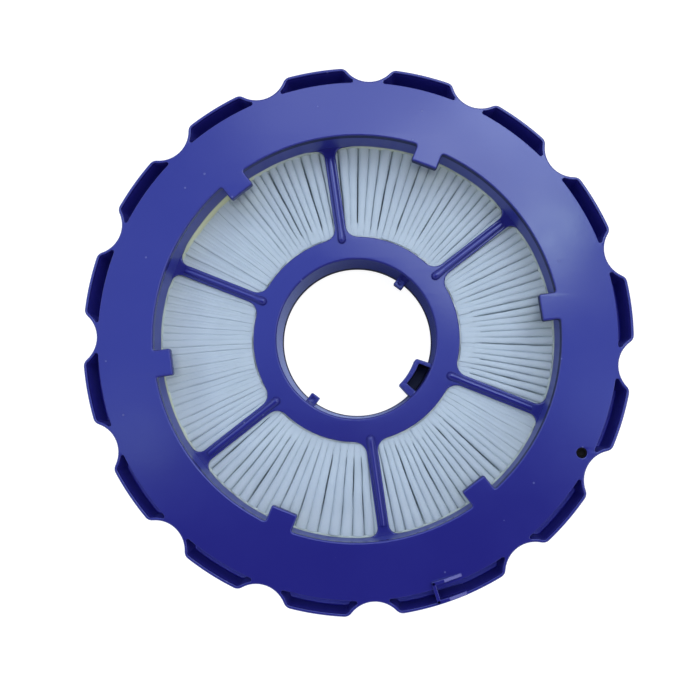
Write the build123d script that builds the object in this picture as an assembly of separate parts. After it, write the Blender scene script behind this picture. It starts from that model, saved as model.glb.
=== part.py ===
"""Round pleated exhaust filter for a vacuum cleaner, lying on its rear seal with the grip face up.

Millimetres, +Z up. The origin is on the bore axis, in the plane of the rear seal's lower edge.
"""
import os
from math import cos, degrees, pi, radians, sin, sqrt, tan

from build123d import *

# Grip ring
GRIP_RADIUS = 95.0
OVERALL_HEIGHT = 32.0
FLANGE_DEPTH = 12.6
PLATE_THICKNESS = 2.6
PLATE_OVERHANG = 0.6
NOTCH_RADIUS = 10.2
NOTCH_DEPTH = 4.9
NOTCH_CORNER_ROUND = 3.0
LOBE_COUNT = 14
LONG_LOBE_START_ANGLE = 273.9
LONG_LOBE_END_ANGLE = 307.1
POCKET_WALL = 1.0
POCKET_WIDTH = 4.3
POCKET_END_ANGLE = 3.4
POCKET_FLOOR = 1.2
SKIRT_WALL = 1.2
RIB_THICKNESS = 1.2
RIB_DEPTH = 5.5
TAB_COUNT = 6
TAB_ANGLE = 8.2
TAB_REACH = 6.1
TAB_WIDTH = 9.4
TAB_THICKNESS = 2.0
TAB_CORNER_ROUND = 0.7

# Catch that stands on the long lobe
CATCH_ANGLE = 287.0
CATCH_LENGTH = 10.6
CATCH_RAMP_LENGTH = 6.3
CATCH_RISE = 1.5
CATCH_WIDTH = 7.5
CATCH_SETBACK = 0.6
CATCH_WALL = 1.3

# Black plug in the face
PLUG_RADIUS = 1.7
PLUG_LENGTH = 2.3
PLUG_RECESS = 0.2
PLUG_EDGE_DISTANCE = 8.7
PLUG_ANGLE = 332.3

# Filter body with its front grille
BODY_WALL = 2.0
BODY_BORE_RADIUS = 71.0
GRILLE_DEPTH = 12.8
GRILLE_THICKNESS = 1.2
SPOKE_COUNT = 6
SPOKE_ANGLE = 38.2
SPOKE_WIDTH = 4.1
SPOKE_HUB_ROUND = 4.6
SPOKE_WALL_ROUND = 3.2
BEAD_RADIUS = 1.4
BEAD_HUB_OVERLAP = 3.2
BEAD_WALL_GAP = 3.6
BEAD_TIP_RADIUS = 1.75
BEAD_TIP_HEIGHT = 1.6
HUB_FACE_WIDTH = 8.5
HUB_WALL = 1.2
COLLAR_END_RADIUS = 28.3
COLLAR_FLARE = 0.6
COLLAR_WALL = 1.8
REAR_FLANGE_REACH = 3.0
REAR_FLANGE_THICKNESS = 2.6

# Lugs and catch box inside the bore
LUG_ANGLE = 53.3
LUG_REACH = 2.8
LUG_WIDTH = 3.6
LUG_HEIGHT = 3.4
LUG_RISE = 0.8
LUG_DIMPLE = 1.3
LUG_DIMPLE_DEPTH = 0.4
BOX_ANGLE = 327.6
BOX_SPAN_ANGLE = 29.0
BOX_REACH = 5.5
BOX_WALL = 1.7
BOX_DROP = 4.6
BOX_FLOOR = 1.6
BOX_CORNER_ROUND = 1.0

# Pleated media and its adhesive
PLEAT_COUNT = 120
MEDIA_THICKNESS = 0.3
CREST_DEPTH = 0.6
POTTING_THICKNESS = 0.9
HUB_POTTING_THICKNESS = 0.5

# Rear grille
REAR_GRILLE_THICKNESS = 1.8
REAR_GRILLE_RECESS = 1.1
REAR_SPOKE_WIDTH = 4.0
REAR_RIM_WIDTH = 4.0
REAR_HUB_REACH = 1.2

# Seals
SEAL_WIDTH = 3.0
SEAL_THICKNESS = 1.5
SEAL_BORE_LIP = 0.2
SEAL_BORE_HEIGHT = 2.2

# Clearances, and the reach within which a corner counts as lying on a circle
FIT_GAP = 0.05
SLIDE_GAP = 0.1
CORNER_SEARCH = 0.1

# Levels, from the rear seal upwards
face_level = OVERALL_HEIGHT
plate_underside = face_level - PLATE_THICKNESS
flange_level = face_level - FLANGE_DEPTH
grille_top = face_level - GRILLE_DEPTH
grille_underside = grille_top - GRILLE_THICKNESS
body_end = SEAL_THICKNESS
rear_grille_base = body_end + REAR_GRILLE_RECESS
rear_grille_top = rear_grille_base + REAR_GRILLE_THICKNESS
media_top = grille_underside - SLIDE_GAP
media_base = rear_grille_top + SLIDE_GAP

# Radii
body_outer_radius = BODY_BORE_RADIUS + BODY_WALL
socket_radius = body_outer_radius + SLIDE_GAP
socket_outer_radius = socket_radius + SKIRT_WALL
plate_inner_radius = BODY_BORE_RADIUS - PLATE_OVERHANG
tab_tip_radius = plate_inner_radius - TAB_REACH
pocket_outer_radius = GRIP_RADIUS - POCKET_WALL
pocket_inner_radius = pocket_outer_radius - POCKET_WIDTH
skirt_inner_radius = pocket_inner_radius - SKIRT_WALL
catch_outer_radius = GRIP_RADIUS - CATCH_SETBACK
catch_inner_radius = catch_outer_radius - CATCH_WIDTH
plug_place_radius = GRIP_RADIUS - PLUG_EDGE_DISTANCE
collar_top_radius = COLLAR_END_RADIUS + COLLAR_FLARE
collar_outer_radius = COLLAR_END_RADIUS + COLLAR_WALL
hub_radius = collar_top_radius + HUB_FACE_WIDTH
lug_tip_radius = COLLAR_END_RADIUS - LUG_REACH
box_tip_radius = COLLAR_END_RADIUS - BOX_REACH
seal_bore_radius = COLLAR_END_RADIUS - SEAL_BORE_LIP
potting_outer_radius = BODY_BORE_RADIUS - FIT_GAP
potting_inner_radius = potting_outer_radius - POTTING_THICKNESS
hub_potting_inner_radius = hub_radius + FIT_GAP
hub_potting_outer_radius = hub_potting_inner_radius + HUB_POTTING_THICKNESS
rear_flange_radius = body_outer_radius + REAR_FLANGE_REACH
seal_centre_radius = (BODY_BORE_RADIUS + rear_flange_radius) / 2

# Notch angles: equal lobes from the end of the long one round to its start
long_lobe_span = LONG_LOBE_END_ANGLE - LONG_LOBE_START_ANGLE
lobe_pitch = (360 - long_lobe_span) / LOBE_COUNT
notch_angles = [LONG_LOBE_END_ANGLE + i * lobe_pitch for i in range(LOBE_COUNT + 1)]


def ring(outer, inner, base, top):
    """A plain ring between two radii and two levels."""
    return Pos(0, 0, base) * extrude(Circle(outer) - Circle(inner), top - base)


def at_angle(angle, radius=0.0, level=0.0):
    """Frame whose X axis points outwards at the given angle."""
    return Rot(0, 0, angle) * Pos(radius, 0, level)


def notch_circles(extra=0.0):
    """The finger notches as discs, grown by extra."""
    centre_radius = GRIP_RADIUS - NOTCH_DEPTH + NOTCH_RADIUS
    discs = Sketch()
    for angle in notch_angles:
        discs += at_angle(angle, centre_radius) * Circle(NOTCH_RADIUS + extra)
    return discs


def grip_outline():
    """Outer outline of the grip ring, with rounded lobe corners."""
    outline = Circle(GRIP_RADIUS) - notch_circles()
    return fillet(outline.vertices(), NOTCH_CORNER_ROUND)


def sector(outer, inner, start, end):
    """Ring sector between two radii and two angles."""
    middle = radians((end - start) / 2)
    reach = outer / cos(middle)
    wedge = Polygon(
        (0, 0),
        (reach * cos(middle), -reach * sin(middle)),
        (reach * cos(middle), reach * sin(middle)),
        align=None,
    )
    return at_angle((start + end) / 2) * ((Circle(outer) - Circle(inner)) & wedge)


def pocket_outlines():
    """The blind pockets behind the lobes' outer wall."""
    outlines = Sketch()
    spans = list(zip(notch_angles, notch_angles[1:]))
    spans.append((LONG_LOBE_START_ANGLE, LONG_LOBE_END_ANGLE))
    for start, end in spans:
        outlines += sector(
            pocket_outer_radius,
            pocket_inner_radius,
            start + POCKET_END_ANGLE,
            end - POCKET_END_ANGLE,
        )
    return outlines - notch_circles(POCKET_WALL)


def tabs():
    """Short flat tabs, flush with the face, that reach in over the media."""
    length = TAB_REACH + PLATE_THICKNESS
    blank = RectangleRounded(2 * length, TAB_WIDTH, TAB_CORNER_ROUND)
    tab = Pos(tab_tip_radius + length, 0) * blank
    tab = tab & Circle(plate_inner_radius + PLATE_THICKNESS / 2)
    solid = Pos(0, 0, face_level - TAB_THICKNESS) * extrude(tab, TAB_THICKNESS)
    return PolarLocations(0, TAB_COUNT, start_angle=TAB_ANGLE) * solid


def catch():
    """U-shaped catch: a cross wall over the pocket and two arms that end in ramps."""
    floor_level = flange_level + POCKET_FLOOR
    top_level = face_level + CATCH_RISE
    block = Pos(catch_inner_radius, 0, floor_level) * Box(
        CATCH_WIDTH, CATCH_WALL, top_level - floor_level, align=(Align.MIN, Align.MIN, Align.MIN)
    )
    side = Polygon(
        (0, floor_level),
        (CATCH_LENGTH, floor_level),
        (CATCH_LENGTH, face_level),
        (CATCH_LENGTH - CATCH_RAMP_LENGTH, top_level),
        (0, top_level),
        align=None,
    )
    arm = extrude(Plane.YZ * side, CATCH_WALL)
    block += Pos(catch_inner_radius, 0, 0) * arm
    block += Pos(catch_outer_radius - CATCH_WALL, 0, 0) * arm
    return Rot(0, 0, CATCH_ANGLE) * block


def grip_ring():
    """Outer moulding: face plate, lobed grip, pockets, tabs, socket for the body and ribs."""
    outline = grip_outline() - Circle(plate_inner_radius)
    body = Pos(0, 0, flange_level) * extrude(outline, FLANGE_DEPTH)
    body -= ring(socket_radius, tab_tip_radius, flange_level, plate_underside)
    body -= ring(skirt_inner_radius, socket_outer_radius, flange_level, plate_underside)
    rib_length = skirt_inner_radius - socket_outer_radius + SKIRT_WALL
    rib = Pos(socket_outer_radius - SKIRT_WALL / 2, 0, plate_underside - RIB_DEPTH) * Box(
        rib_length, RIB_THICKNESS, RIB_DEPTH, align=(Align.MIN, Align.CENTER, Align.MIN)
    )
    for angle in notch_angles:
        body += Rot(0, 0, angle) * rib
    pocket_depth = FLANGE_DEPTH - POCKET_FLOOR
    body -= Pos(0, 0, flange_level + POCKET_FLOOR) * extrude(pocket_outlines(), pocket_depth)
    body += tabs()
    body += catch() & Pos(0, 0, flange_level) * Cylinder(
        GRIP_RADIUS - POCKET_WALL / 2, 2 * FLANGE_DEPTH, align=(Align.CENTER, Align.CENTER, Align.MIN)
    )
    plug_hole = Cylinder(PLUG_RADIUS + FIT_GAP, 3 * PLATE_THICKNESS)
    body -= at_angle(PLUG_ANGLE, plug_place_radius, face_level) * plug_hole
    return body


def face_plug():
    """Small black plug, set a little below the face."""
    top = face_level - PLUG_RECESS
    plug = Cylinder(PLUG_RADIUS, PLUG_LENGTH, align=(Align.CENTER, Align.CENTER, Align.MAX))
    return at_angle(PLUG_ANGLE, plug_place_radius, top) * plug


def corner_radius(vertex):
    """Distance of a corner from the axis."""
    return sqrt(vertex.X**2 + vertex.Y**2)


def windows(outer, inner, spoke_width):
    """Grille windows: a ring cut by the spokes."""
    spoke = Rectangle(2 * outer, spoke_width, align=(Align.MIN, Align.CENTER))
    spokes = PolarLocations(0, SPOKE_COUNT, start_angle=SPOKE_ANGLE) * spoke
    return Circle(outer) - Circle(inner) - spokes


def front_windows():
    """The front grille's windows, with corners rounded at the wall and at the hub."""
    openings = windows(BODY_BORE_RADIUS, hub_radius, SPOKE_WIDTH)
    middle = (BODY_BORE_RADIUS + hub_radius) / 2
    wall_corners = openings.vertices().filter_by(lambda v: corner_radius(v) > middle)
    openings = fillet(wall_corners, SPOKE_WALL_ROUND)
    hub_corners = openings.vertices().filter_by(lambda v: corner_radius(v) < hub_radius + CORNER_SEARCH)
    return fillet(hub_corners, SPOKE_HUB_ROUND)


def spoke_beads():
    """Round bead on each spoke, from a swollen tip on the hub to a stop short of the wall."""
    start = hub_radius - BEAD_HUB_OVERLAP
    end = BODY_BORE_RADIUS - BEAD_WALL_GAP
    bar = Pos(start, 0, grille_top) * Rot(0, 90, 0) * Cylinder(
        BEAD_RADIUS, end - start, align=(Align.CENTER, Align.CENTER, Align.MIN)
    )
    bar += Pos(start, 0, grille_top) * Cylinder(
        BEAD_TIP_RADIUS, BEAD_TIP_HEIGHT, align=(Align.CENTER, Align.CENTER, Align.MIN)
    )
    bar -= Pos(0, 0, grille_underside) * Box(
        3 * BODY_BORE_RADIUS, 20, 20, align=(Align.CENTER, Align.CENTER, Align.MAX)
    )
    return PolarLocations(0, SPOKE_COUNT, start_angle=SPOKE_ANGLE) * bar


def bore_lugs():
    """Two small square lugs near the rear end of the bore, each with a dimple on top."""
    lug_base = rear_grille_top + LUG_RISE
    length = LUG_REACH + COLLAR_WALL / 2
    lug = Pos(lug_tip_radius, 0, lug_base) * Box(
        length, LUG_WIDTH, LUG_HEIGHT, align=(Align.MIN, Align.CENTER, Align.MIN)
    )
    dimple = Pos(lug_tip_radius + LUG_WIDTH / 2, 0, lug_base + LUG_HEIGHT) * Box(
        LUG_DIMPLE, LUG_DIMPLE, 2 * LUG_DIMPLE_DEPTH
    )
    return PolarLocations(0, 2, start_angle=LUG_ANGLE) * (lug - dimple)


def bore_box():
    """Catch box on the bore wall: three walls round a blind slot."""
    top = grille_top - BOX_DROP
    start = BOX_ANGLE - BOX_SPAN_ANGLE / 2
    end = BOX_ANGLE + BOX_SPAN_ANGLE / 2
    outline = sector(COLLAR_END_RADIUS + COLLAR_WALL / 2, box_tip_radius, start, end)
    tips = outline.vertices().filter_by(lambda v: corner_radius(v) < box_tip_radius + CORNER_SEARCH)
    outline = fillet(tips, BOX_CORNER_ROUND)
    slot_inner_radius = box_tip_radius + BOX_WALL
    side_angle = degrees(BOX_WALL / slot_inner_radius)
    slot = sector(COLLAR_END_RADIUS, slot_inner_radius, start + side_angle, end - side_angle)
    box = Pos(0, 0, rear_grille_top) * extrude(outline, top - rear_grille_top)
    slot_floor = rear_grille_top + BOX_FLOOR
    return box - Pos(0, 0, slot_floor) * extrude(slot, top - slot_floor)


def filter_body():
    """Inner moulding: outer wall, rear flange, front grille, hub channel and bore collar."""
    wall = ring(body_outer_radius, BODY_BORE_RADIUS, body_end, plate_underside - FIT_GAP)
    wall += ring(rear_flange_radius, BODY_BORE_RADIUS, body_end, body_end + REAR_FLANGE_THICKNESS)
    plate = Circle(BODY_BORE_RADIUS + BODY_WALL / 2) - Circle(collar_top_radius) - front_windows()
    grille = Pos(0, 0, grille_underside) * extrude(plate, GRILLE_THICKNESS)
    grille += spoke_beads()
    hub_skirt = ring(hub_radius, hub_radius - HUB_WALL, media_base, grille_underside)
    collar_section = Polygon(
        (COLLAR_END_RADIUS, rear_grille_top),
        (collar_outer_radius, rear_grille_top),
        (collar_outer_radius, grille_underside + GRILLE_THICKNESS / 2),
        (collar_outer_radius, grille_top),
        (collar_top_radius, grille_top),
        align=None,
    )
    collar = revolve(Plane.XZ * collar_section, Axis.Z)
    return wall + grille + hub_skirt + collar + bore_lugs() + bore_box()


def fold_section(radius):
    """Half of one fold, seen along the radius: upper and lower lines as (offset, level)."""
    half_pitch = radius * tan(pi / PLEAT_COUNT)
    upper = [
        (MEDIA_THICKNESS, media_top),
        (half_pitch, media_base + CREST_DEPTH),
    ]
    lower = [
        (0, media_top - CREST_DEPTH),
        (half_pitch - MEDIA_THICKNESS, media_base),
        (half_pitch, media_base),
    ]
    return upper, lower


def mirror_line(half):
    """Whole line of a fold from its right half, with a point on the centre kept once."""
    left = [(-y, z) for y, z in reversed(half) if y > 0]
    return left + half


def strip(near, far):
    """Faces between two lines of points: one where it is flat, two where it twists."""
    faces = []
    for a, b, c, d in zip(near, near[1:], far[1:], far):
        if abs(a[2] - b[2]) < 1e-6:
            faces.append(Face(Wire.make_polygon([a, b, c, d])))
        else:
            faces.append(Face(Wire.make_polygon([a, b, c])))
            faces.append(Face(Wire.make_polygon([a, c, d])))
    return faces


def pleated_media():
    """One folded sheet, closed into a ring: flanks twist a little as the folds fan out."""
    lines = {}
    for name, radius in (("inner", hub_potting_outer_radius), ("outer", potting_inner_radius)):
        radius += FIT_GAP if name == "inner" else -FIT_GAP
        if name == "outer":
            radius *= cos(pi / PLEAT_COUNT)
        for side, half in zip(("upper", "lower"), fold_section(radius)):
            lines[name, side] = [(radius, y, z) for y, z in mirror_line(half)]
    fold = strip(lines["inner", "upper"], lines["outer", "upper"])
    fold += strip(lines["inner", "lower"], lines["outer", "lower"])
    for name in ("inner", "outer"):
        loop = lines[name, "upper"] + lines[name, "lower"][::-1]
        fold.append(Face(Wire.make_polygon(loop)))
    faces = []
    for i in range(PLEAT_COUNT):
        turn = Rot(0, 0, i * 360 / PLEAT_COUNT)
        faces += [turn * face for face in fold]
    return Solid(Shell(faces))


def outer_potting():
    """Adhesive ring between the pleat ends and the body wall."""
    return ring(potting_outer_radius, potting_inner_radius, media_base, media_top)


def inner_potting():
    """Adhesive ring between the pleat ends and the hub."""
    return ring(hub_potting_outer_radius, hub_potting_inner_radius, media_base, media_top)


def rear_grille():
    """Flat rear grille that holds the pleats from behind."""
    outer = BODY_BORE_RADIUS - SLIDE_GAP
    inner = collar_outer_radius + SLIDE_GAP
    plate = Circle(outer) - Circle(inner)
    plate -= windows(outer - REAR_RIM_WIDTH, hub_radius + REAR_HUB_REACH, REAR_SPOKE_WIDTH)
    return Pos(0, 0, rear_grille_base) * extrude(plate, REAR_GRILLE_THICKNESS)


def outer_seal():
    """Flat rubber ring on the rear flange. The filter rests on it."""
    half_width = SEAL_WIDTH / 2
    return ring(seal_centre_radius + half_width, seal_centre_radius - half_width, 0, body_end)


def bore_seal():
    """Rubber ring at the rear end of the collar, inside the rear grille."""
    return ring(
        collar_outer_radius,
        seal_bore_radius,
        rear_grille_top - FIT_GAP - SEAL_BORE_HEIGHT,
        rear_grille_top - FIT_GAP,
    )


PIECES = {
    "grip_ring": grip_ring,
    "filter_body": filter_body,
    "pleated_media": pleated_media,
    "outer_potting": outer_potting,
    "inner_potting": inner_potting,
    "rear_grille": rear_grille,
    "outer_seal": outer_seal,
    "bore_seal": bore_seal,
    "face_plug": face_plug,
}

os.makedirs("parts", exist_ok=True)
for node, make in PIECES.items():
    export_step(make(), f"parts/{node}.step")
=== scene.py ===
"""The looks of a round pleated exhaust filter with a lobed blue grip ring, lying on its rear seal.

Lengths in the making are millimetres and angles are degrees. Meshes become metres when they are finished.
"""

from math import asin, atan2, ceil, cos, degrees, hypot, pi, radians, sin, sqrt, tan

import bmesh
import bpy
from mathutils import Matrix, Vector
from mathutils.geometry import tessellate_polygon


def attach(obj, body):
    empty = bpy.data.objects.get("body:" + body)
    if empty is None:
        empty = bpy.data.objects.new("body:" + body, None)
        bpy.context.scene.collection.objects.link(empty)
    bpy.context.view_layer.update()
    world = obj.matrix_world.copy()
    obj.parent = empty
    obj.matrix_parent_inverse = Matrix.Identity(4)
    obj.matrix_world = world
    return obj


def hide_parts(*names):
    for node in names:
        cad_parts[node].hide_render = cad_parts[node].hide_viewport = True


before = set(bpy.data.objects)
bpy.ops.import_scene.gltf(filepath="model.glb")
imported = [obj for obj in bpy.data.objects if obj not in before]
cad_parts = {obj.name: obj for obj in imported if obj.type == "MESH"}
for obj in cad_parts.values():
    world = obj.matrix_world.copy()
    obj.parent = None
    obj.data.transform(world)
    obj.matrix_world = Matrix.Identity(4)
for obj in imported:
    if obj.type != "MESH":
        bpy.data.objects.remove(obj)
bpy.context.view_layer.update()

MM = 0.001

# How edges and corners are rounded, and how finely arcs are divided
EDGE = 0.4
EDGE_STEPS = 4
CORNER_STEPS = 5
CORNER_LEAST_TURN = 28.0
SECTION_STEPS = 3
ARC_PITCH = 1.3
ARC_TURN = 10.0
SAME_POINT = 0.01
SHARP_ANGLE = 42.0
WELD_DISTANCE = 0.002

# Grip ring
GRIP_RADIUS = 95.0
FACE_LEVEL = 32.0
PLATE_UNDERSIDE = 29.4
FLANGE_LEVEL = 19.4
PLATE_INNER_RADIUS = 70.4
NOTCH_RADIUS = 10.2
NOTCH_CENTRE_RADIUS = 100.3
LOBE_CORNER_ROUND = 3.0
NOTCH_START_ANGLE = 307.1
NOTCH_PITCH_ANGLE = 23.342857
NOTCH_COUNT = 15
LONG_LOBE_SPAN = 33.2
POCKET_OUTER_RADIUS = 94.0
POCKET_INNER_RADIUS = 89.7
POCKET_WALL = 1.0
POCKET_END_ANGLE = 3.4
POCKET_FLOOR_LEVEL = 20.6
POCKET_CORNER_ROUND = 0.8
POCKET_FLOOR_ROUND = 0.5
POCKET_STEP_ANGLE = 0.4
SOCKET_RADIUS = 73.1
SOCKET_OUTER_RADIUS = 74.3
SKIRT_INNER_RADIUS = 88.5
RIB_THICKNESS = 1.2
RIB_DEPTH = 5.5
TAB_COUNT = 6
TAB_ANGLE = 8.2
TAB_TIP_RADIUS = 64.3
TAB_WIDTH = 9.4
TAB_ROUND = 0.9

# Catch on the long lobe
CATCH_ANGLE = 287.0
CATCH_INNER_RADIUS = 86.9
CATCH_OUTER_RADIUS = 94.4
CATCH_WALL = 1.3
CATCH_LENGTH = 10.6
CATCH_RAMP_LENGTH = 6.3
CATCH_LEVEL = 33.5

# Plug
PLUG_PLACE_RADIUS = 86.3
PLUG_ANGLE = 332.3
PLUG_RADIUS = 1.7
PLUG_HOLE_RADIUS = 1.78
PLUG_TOP_LEVEL = 31.8
PLUG_SIDES = 32
# Half of the plug's section as (radius, depth below its top), from the middle of its cup to its lower end
PLUG_SECTION = [
    (0.5, 0.9), (0.95, 0.75), (1.2, 0.2), (1.4, 0.0), (1.62, 0.05),
    (PLUG_RADIUS, 0.2), (PLUG_RADIUS, 2.2), (1.5, 2.3),
]

# Filter body
WALL_RADIUS = 71.0
WALL_OUTER_RADIUS = 73.0
WALL_TOP_LEVEL = 29.35
GRILLE_LEVEL = 19.2
GRILLE_UNDERSIDE = 18.0
HUB_RADIUS = 37.4
HUB_INNER_RADIUS = 36.2
SPOKE_COUNT = 6
SPOKE_ANGLE = 38.2
SPOKE_PITCH_ANGLE = 60.0
SPOKE_WIDTH = 4.1
SPOKE_ROOT_ROUND = 4.6
SPOKE_FLARE_ROUND = 3.2
BEAD_RADIUS = 1.38
BEAD_TIP_RADIUS = 1.6
BEAD_START = 36.6
BEAD_TAPER = 4.2
BEAD_END = 67.4
BEAD_SIDES = 24
BEAD_STEPS = 6
BORE_TOP_RADIUS = 28.9
BORE_TOP_ROUND = 0.7
BORE_END_RADIUS = 28.3
COLLAR_RADIUS = 30.1
COLLAR_END_LEVEL = 4.4
BODY_END_LEVEL = 1.5
REAR_FLANGE_RADIUS = 76.0
REAR_FLANGE_LEVEL = 4.1
LUG_ANGLE = 53.3
LUG_TIP_RADIUS = 25.5
LUG_WIDTH = 3.6
LUG_BASE_LEVEL = 5.2
LUG_TOP_LEVEL = 8.6
LUG_DIMPLE = 1.4
LUG_DIMPLE_DEPTH = 0.5
BOX_START_ANGLE = 313.1
BOX_END_ANGLE = 342.1
BOX_TIP_RADIUS = 22.8
BOX_TOP_LEVEL = 14.6
BOX_WALL = 1.7
BOX_FLOOR = 1.6
BOX_SLOT_RADIUS = 26.6
BOX_SLOT_ANGLE = 328.6
BOX_SLOT_HALF_LENGTH = 5.4
BOX_SLOT_HALF_WIDTH = 2.3

# Folded media and its adhesive
FOLD_COUNT = 137
FOLD_START_ANGLE = -22.0
# For each 30 degrees from the start angle: folds per full turn, how open the gaps are, how far crests lean
FOLD_STRETCHES = [
    (145, 0.95, 0.2), (142, 0.7, 0.3), (140, 0.75, 0.2), (112, 0.72, -0.1), (136, 1.0, -0.3), (156, 0.0, -0.4),
    (160, 0.1, -0.3), (158, 0.25, -0.5), (124, 0.68, -0.5), (110, 0.42, -0.2), (130, 1.0, 0.2), (137, 0.8, 0.3),
]
MEDIA_INNER_RADIUS = 38.0
MEDIA_OUTER_RADIUS = 70.6
MEDIA_TOP_LEVEL = 17.85
MEDIA_BASE_LEVEL = 4.75
MEDIA_THICKNESS = 0.25
MEDIA_SHARP_ANGLE = 75.0
FOLD_SEED = 7
FOLD_UNEVENNESS = 1.0
# How much of its pitch a fold's crest takes near the hub, at the wall, and at most
HUB_FILL = 0.82
WALL_FILL = 0.90
MOST_FILL = 0.975
# Shares of the points from a crest's line to the gap that lie on the crest and on the flank
CREST_SHARE = 0.4
FLANK_SHARE = 0.475
FOLD_SAMPLES = 16
FOLD_ROWS = 15
# How much the sheet and its adhesive climb at the wall between the spokes
WALL_CLIMB = 1.2
GLUE_RADIUS = 70.96
GLUE_BASE_LEVEL = 4.6
GLUE_LEVEL = 17.45
THICK_GLUE_ANGLE = 138
GLUE_STEPS = 480

# Rear grille and seals
REAR_GRILLE_BASE = 2.6
REAR_GRILLE_LEVEL = 4.4
REAR_GRILLE_RADIUS = 70.9
REAR_GRILLE_BORE = 30.2
REAR_WINDOW_OUTER = 66.9
REAR_WINDOW_INNER = 38.6
REAR_SPOKE_WIDTH = 4.0
REAR_WINDOW_ROUND = 2.0
LIP_SEAL_SECTION = [(75.0, 1.5), (75.0, 0.0), (72.0, 0.0), (72.0, 1.5)]
SPIGOT_SEAL_SECTION = [(30.1, 4.35), (30.1, 2.15), (28.1, 2.15), (28.1, 4.35)]
SEAL_ROUND = 0.45

# Tones of the plastic and of the places where it looks different
DEEP_BLUE = (0.0150, 0.0145, 0.153)
SMUDGED_BLUE = (0.0175, 0.0175, 0.172)
# Painted highlight: a paler blue along the middle of rounded rims
RIM_HIGHLIGHT_BLUE = (0.075, 0.085, 0.30)
# Painted light: a lighter blue on the inside of the body wall
WALL_PAINTED_LIGHT = (0.043, 0.052, 0.36)
# Painted shadow in the joint under the face plate's edge
JOINT_PAINTED_SHADOW = (0.003, 0.004, 0.035)
# Direction in which the painted shadow in the joint shows most
JOINT_SHADOW_SIDE = (0.8, 0.6, 0.0)
# Painted light: a brighter blue inside the pockets
POCKET_PAINTED_GLOW = (0.020, 0.018, 0.25)
SLOT_BLACK = (0.001, 0.001, 0.003)
BLUE_DUST = (0.35, 0.38, 0.5)
BLUE_GLOSS = (0.55, 0.68, 1.0, 1.0)

# Tones of the sheet, the adhesive and the rubber
SHEET_SHADE = (0.385, 0.470, 0.510)
SHEET_LIGHT = (0.425, 0.515, 0.555)
# Painted shade on the sheet: darker and greener at the wall and down in the gaps
SHEET_SHADED_AT_WALL = (0.385, 0.455, 0.462)
SHEET_SHADED_IN_GAP = (0.27, 0.345, 0.345)
GLUE_SHADE = (0.42, 0.50, 0.50)
GLUE_LIGHT = (0.47, 0.545, 0.53)
THICK_GLUE = (0.46, 0.51, 0.31)
SEAL_BLACK = (0.012, 0.012, 0.016)
PLUG_BLACK = (0.002, 0.002, 0.002)
RUBBER_DUST = (0.25, 0.25, 0.26)

# Floor: half its size in metres, the light that the camera sees, and the tones that glossy plastic mirrors,
# painted lit on one side and shaded on the other
FLOOR_REACH = 1.6
FLOOR_LIGHT = 0.86
FLOOR_GREY = (0.5, 0.5, 0.5)
FLOOR_SHADOWED = (0.3, 0.3, 0.3)
FLOOR_DIM_SIDE = (0.09, 0.115, 0.27)
FLOOR_LIT_SIDE = (0.52, 0.62, 0.9)
FLOOR_LIT_DIRECTION = (-0.86, -0.5, 0.0)

# Sky: the room's tone, which is lighter to one side, and the tone overhead
ROOM_TONE = (0.70, 0.73, 0.78)
ROOM_LIT_DIRECTION = (0.6, 0.8, 0.0)
OVERHEAD_TONE = (0.71, 0.90, 2.0)
# Soft spots of the sky round directions (x, y, 1): x, y, width, sharpness of the edge
OVERHEAD_SPOT = (0.0, 0.1, 0.48, 6.0)
DIM_SPOT = (-0.01, -0.46, 0.46, 10.0)
# The same for the lit spots, with their strength and tone
SKY_SPOTS = [
    (0.125, 0.262, 0.13, 10.0, 2.65, (1.02, 0.96, 0.74)),
    (0.232, 0.262, 0.05, 4.0, 1.5, (1.0, 1.0, 0.75)),
    (0.224, 0.222, 0.019, 2.5, 4.6, (0.95, 1.08, 0.73)),
    (0.248, 0.234, 0.019, 2.5, 4.6, (0.95, 1.08, 0.73)),
    (0.270, 0.245, 0.019, 2.5, 3.4, (0.95, 1.08, 0.73)),
    (0.235, 0.17, 0.022, 2.0, 3.0, (1.0, 1.0, 0.8)),
    (0.57, -0.09, 0.13, 4.0, 3.0, (1.0, 0.8, 0.9)),
    (-0.02, 0.47, 0.17, 8.0, 1.7, (1.0, 0.94, 0.92)),
    (-0.31, -0.035, 0.05, 4.0, 0.9, (1.0, 1.1, 0.9)),
    (0.30, 0.0, 0.05, 4.0, 0.5, (1.0, 1.1, 1.2)),
]

# Camera, as fitted: its lean from upright, the direction of that lean, the fit's unit of length in metres, the
# picture's pixels to that unit, the distance in units, the shift in pixels, and the pixels' stretch
CAMERA_LEAN = 4.78
CAMERA_DIRECTION = -68.0
CAMERA_UNIT = 0.0901
CAMERA_PIXELS = 260.2
CAMERA_DISTANCE = 2.857
CAMERA_SHIFT = (-5.2, -15.1)
CAMERA_STRETCH = 1.0117
PICTURE_WIDTH = 700
SENSOR_WIDTH = 36.0


# ---- Outlines, as lists of (x, y) ----

def polar(radius, angle):
    """Point at a radius and an angle."""
    return (radius * cos(radians(angle)), radius * sin(radians(angle)))


def arc(centre, radius, start, end):
    """Points on an arc, both ends included."""
    pitch = min(ARC_TURN, degrees(ARC_PITCH / radius))
    count = max(1, ceil(abs(end - start) / pitch))
    points = []
    for i in range(count + 1):
        angle = radians(start + (end - start) * i / count)
        points.append((centre[0] + radius * cos(angle), centre[1] + radius * sin(angle)))
    return points


def ring_loop(radius, centre=(0.0, 0.0)):
    """Full circle, anticlockwise."""
    return arc(centre, radius, 0, 360)[:-1]


def turned(points, angle):
    """Points turned about the axis."""
    c, s = cos(radians(angle)), sin(radians(angle))
    return [(x * c - y * s, x * s + y * c) for x, y in points]


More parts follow.
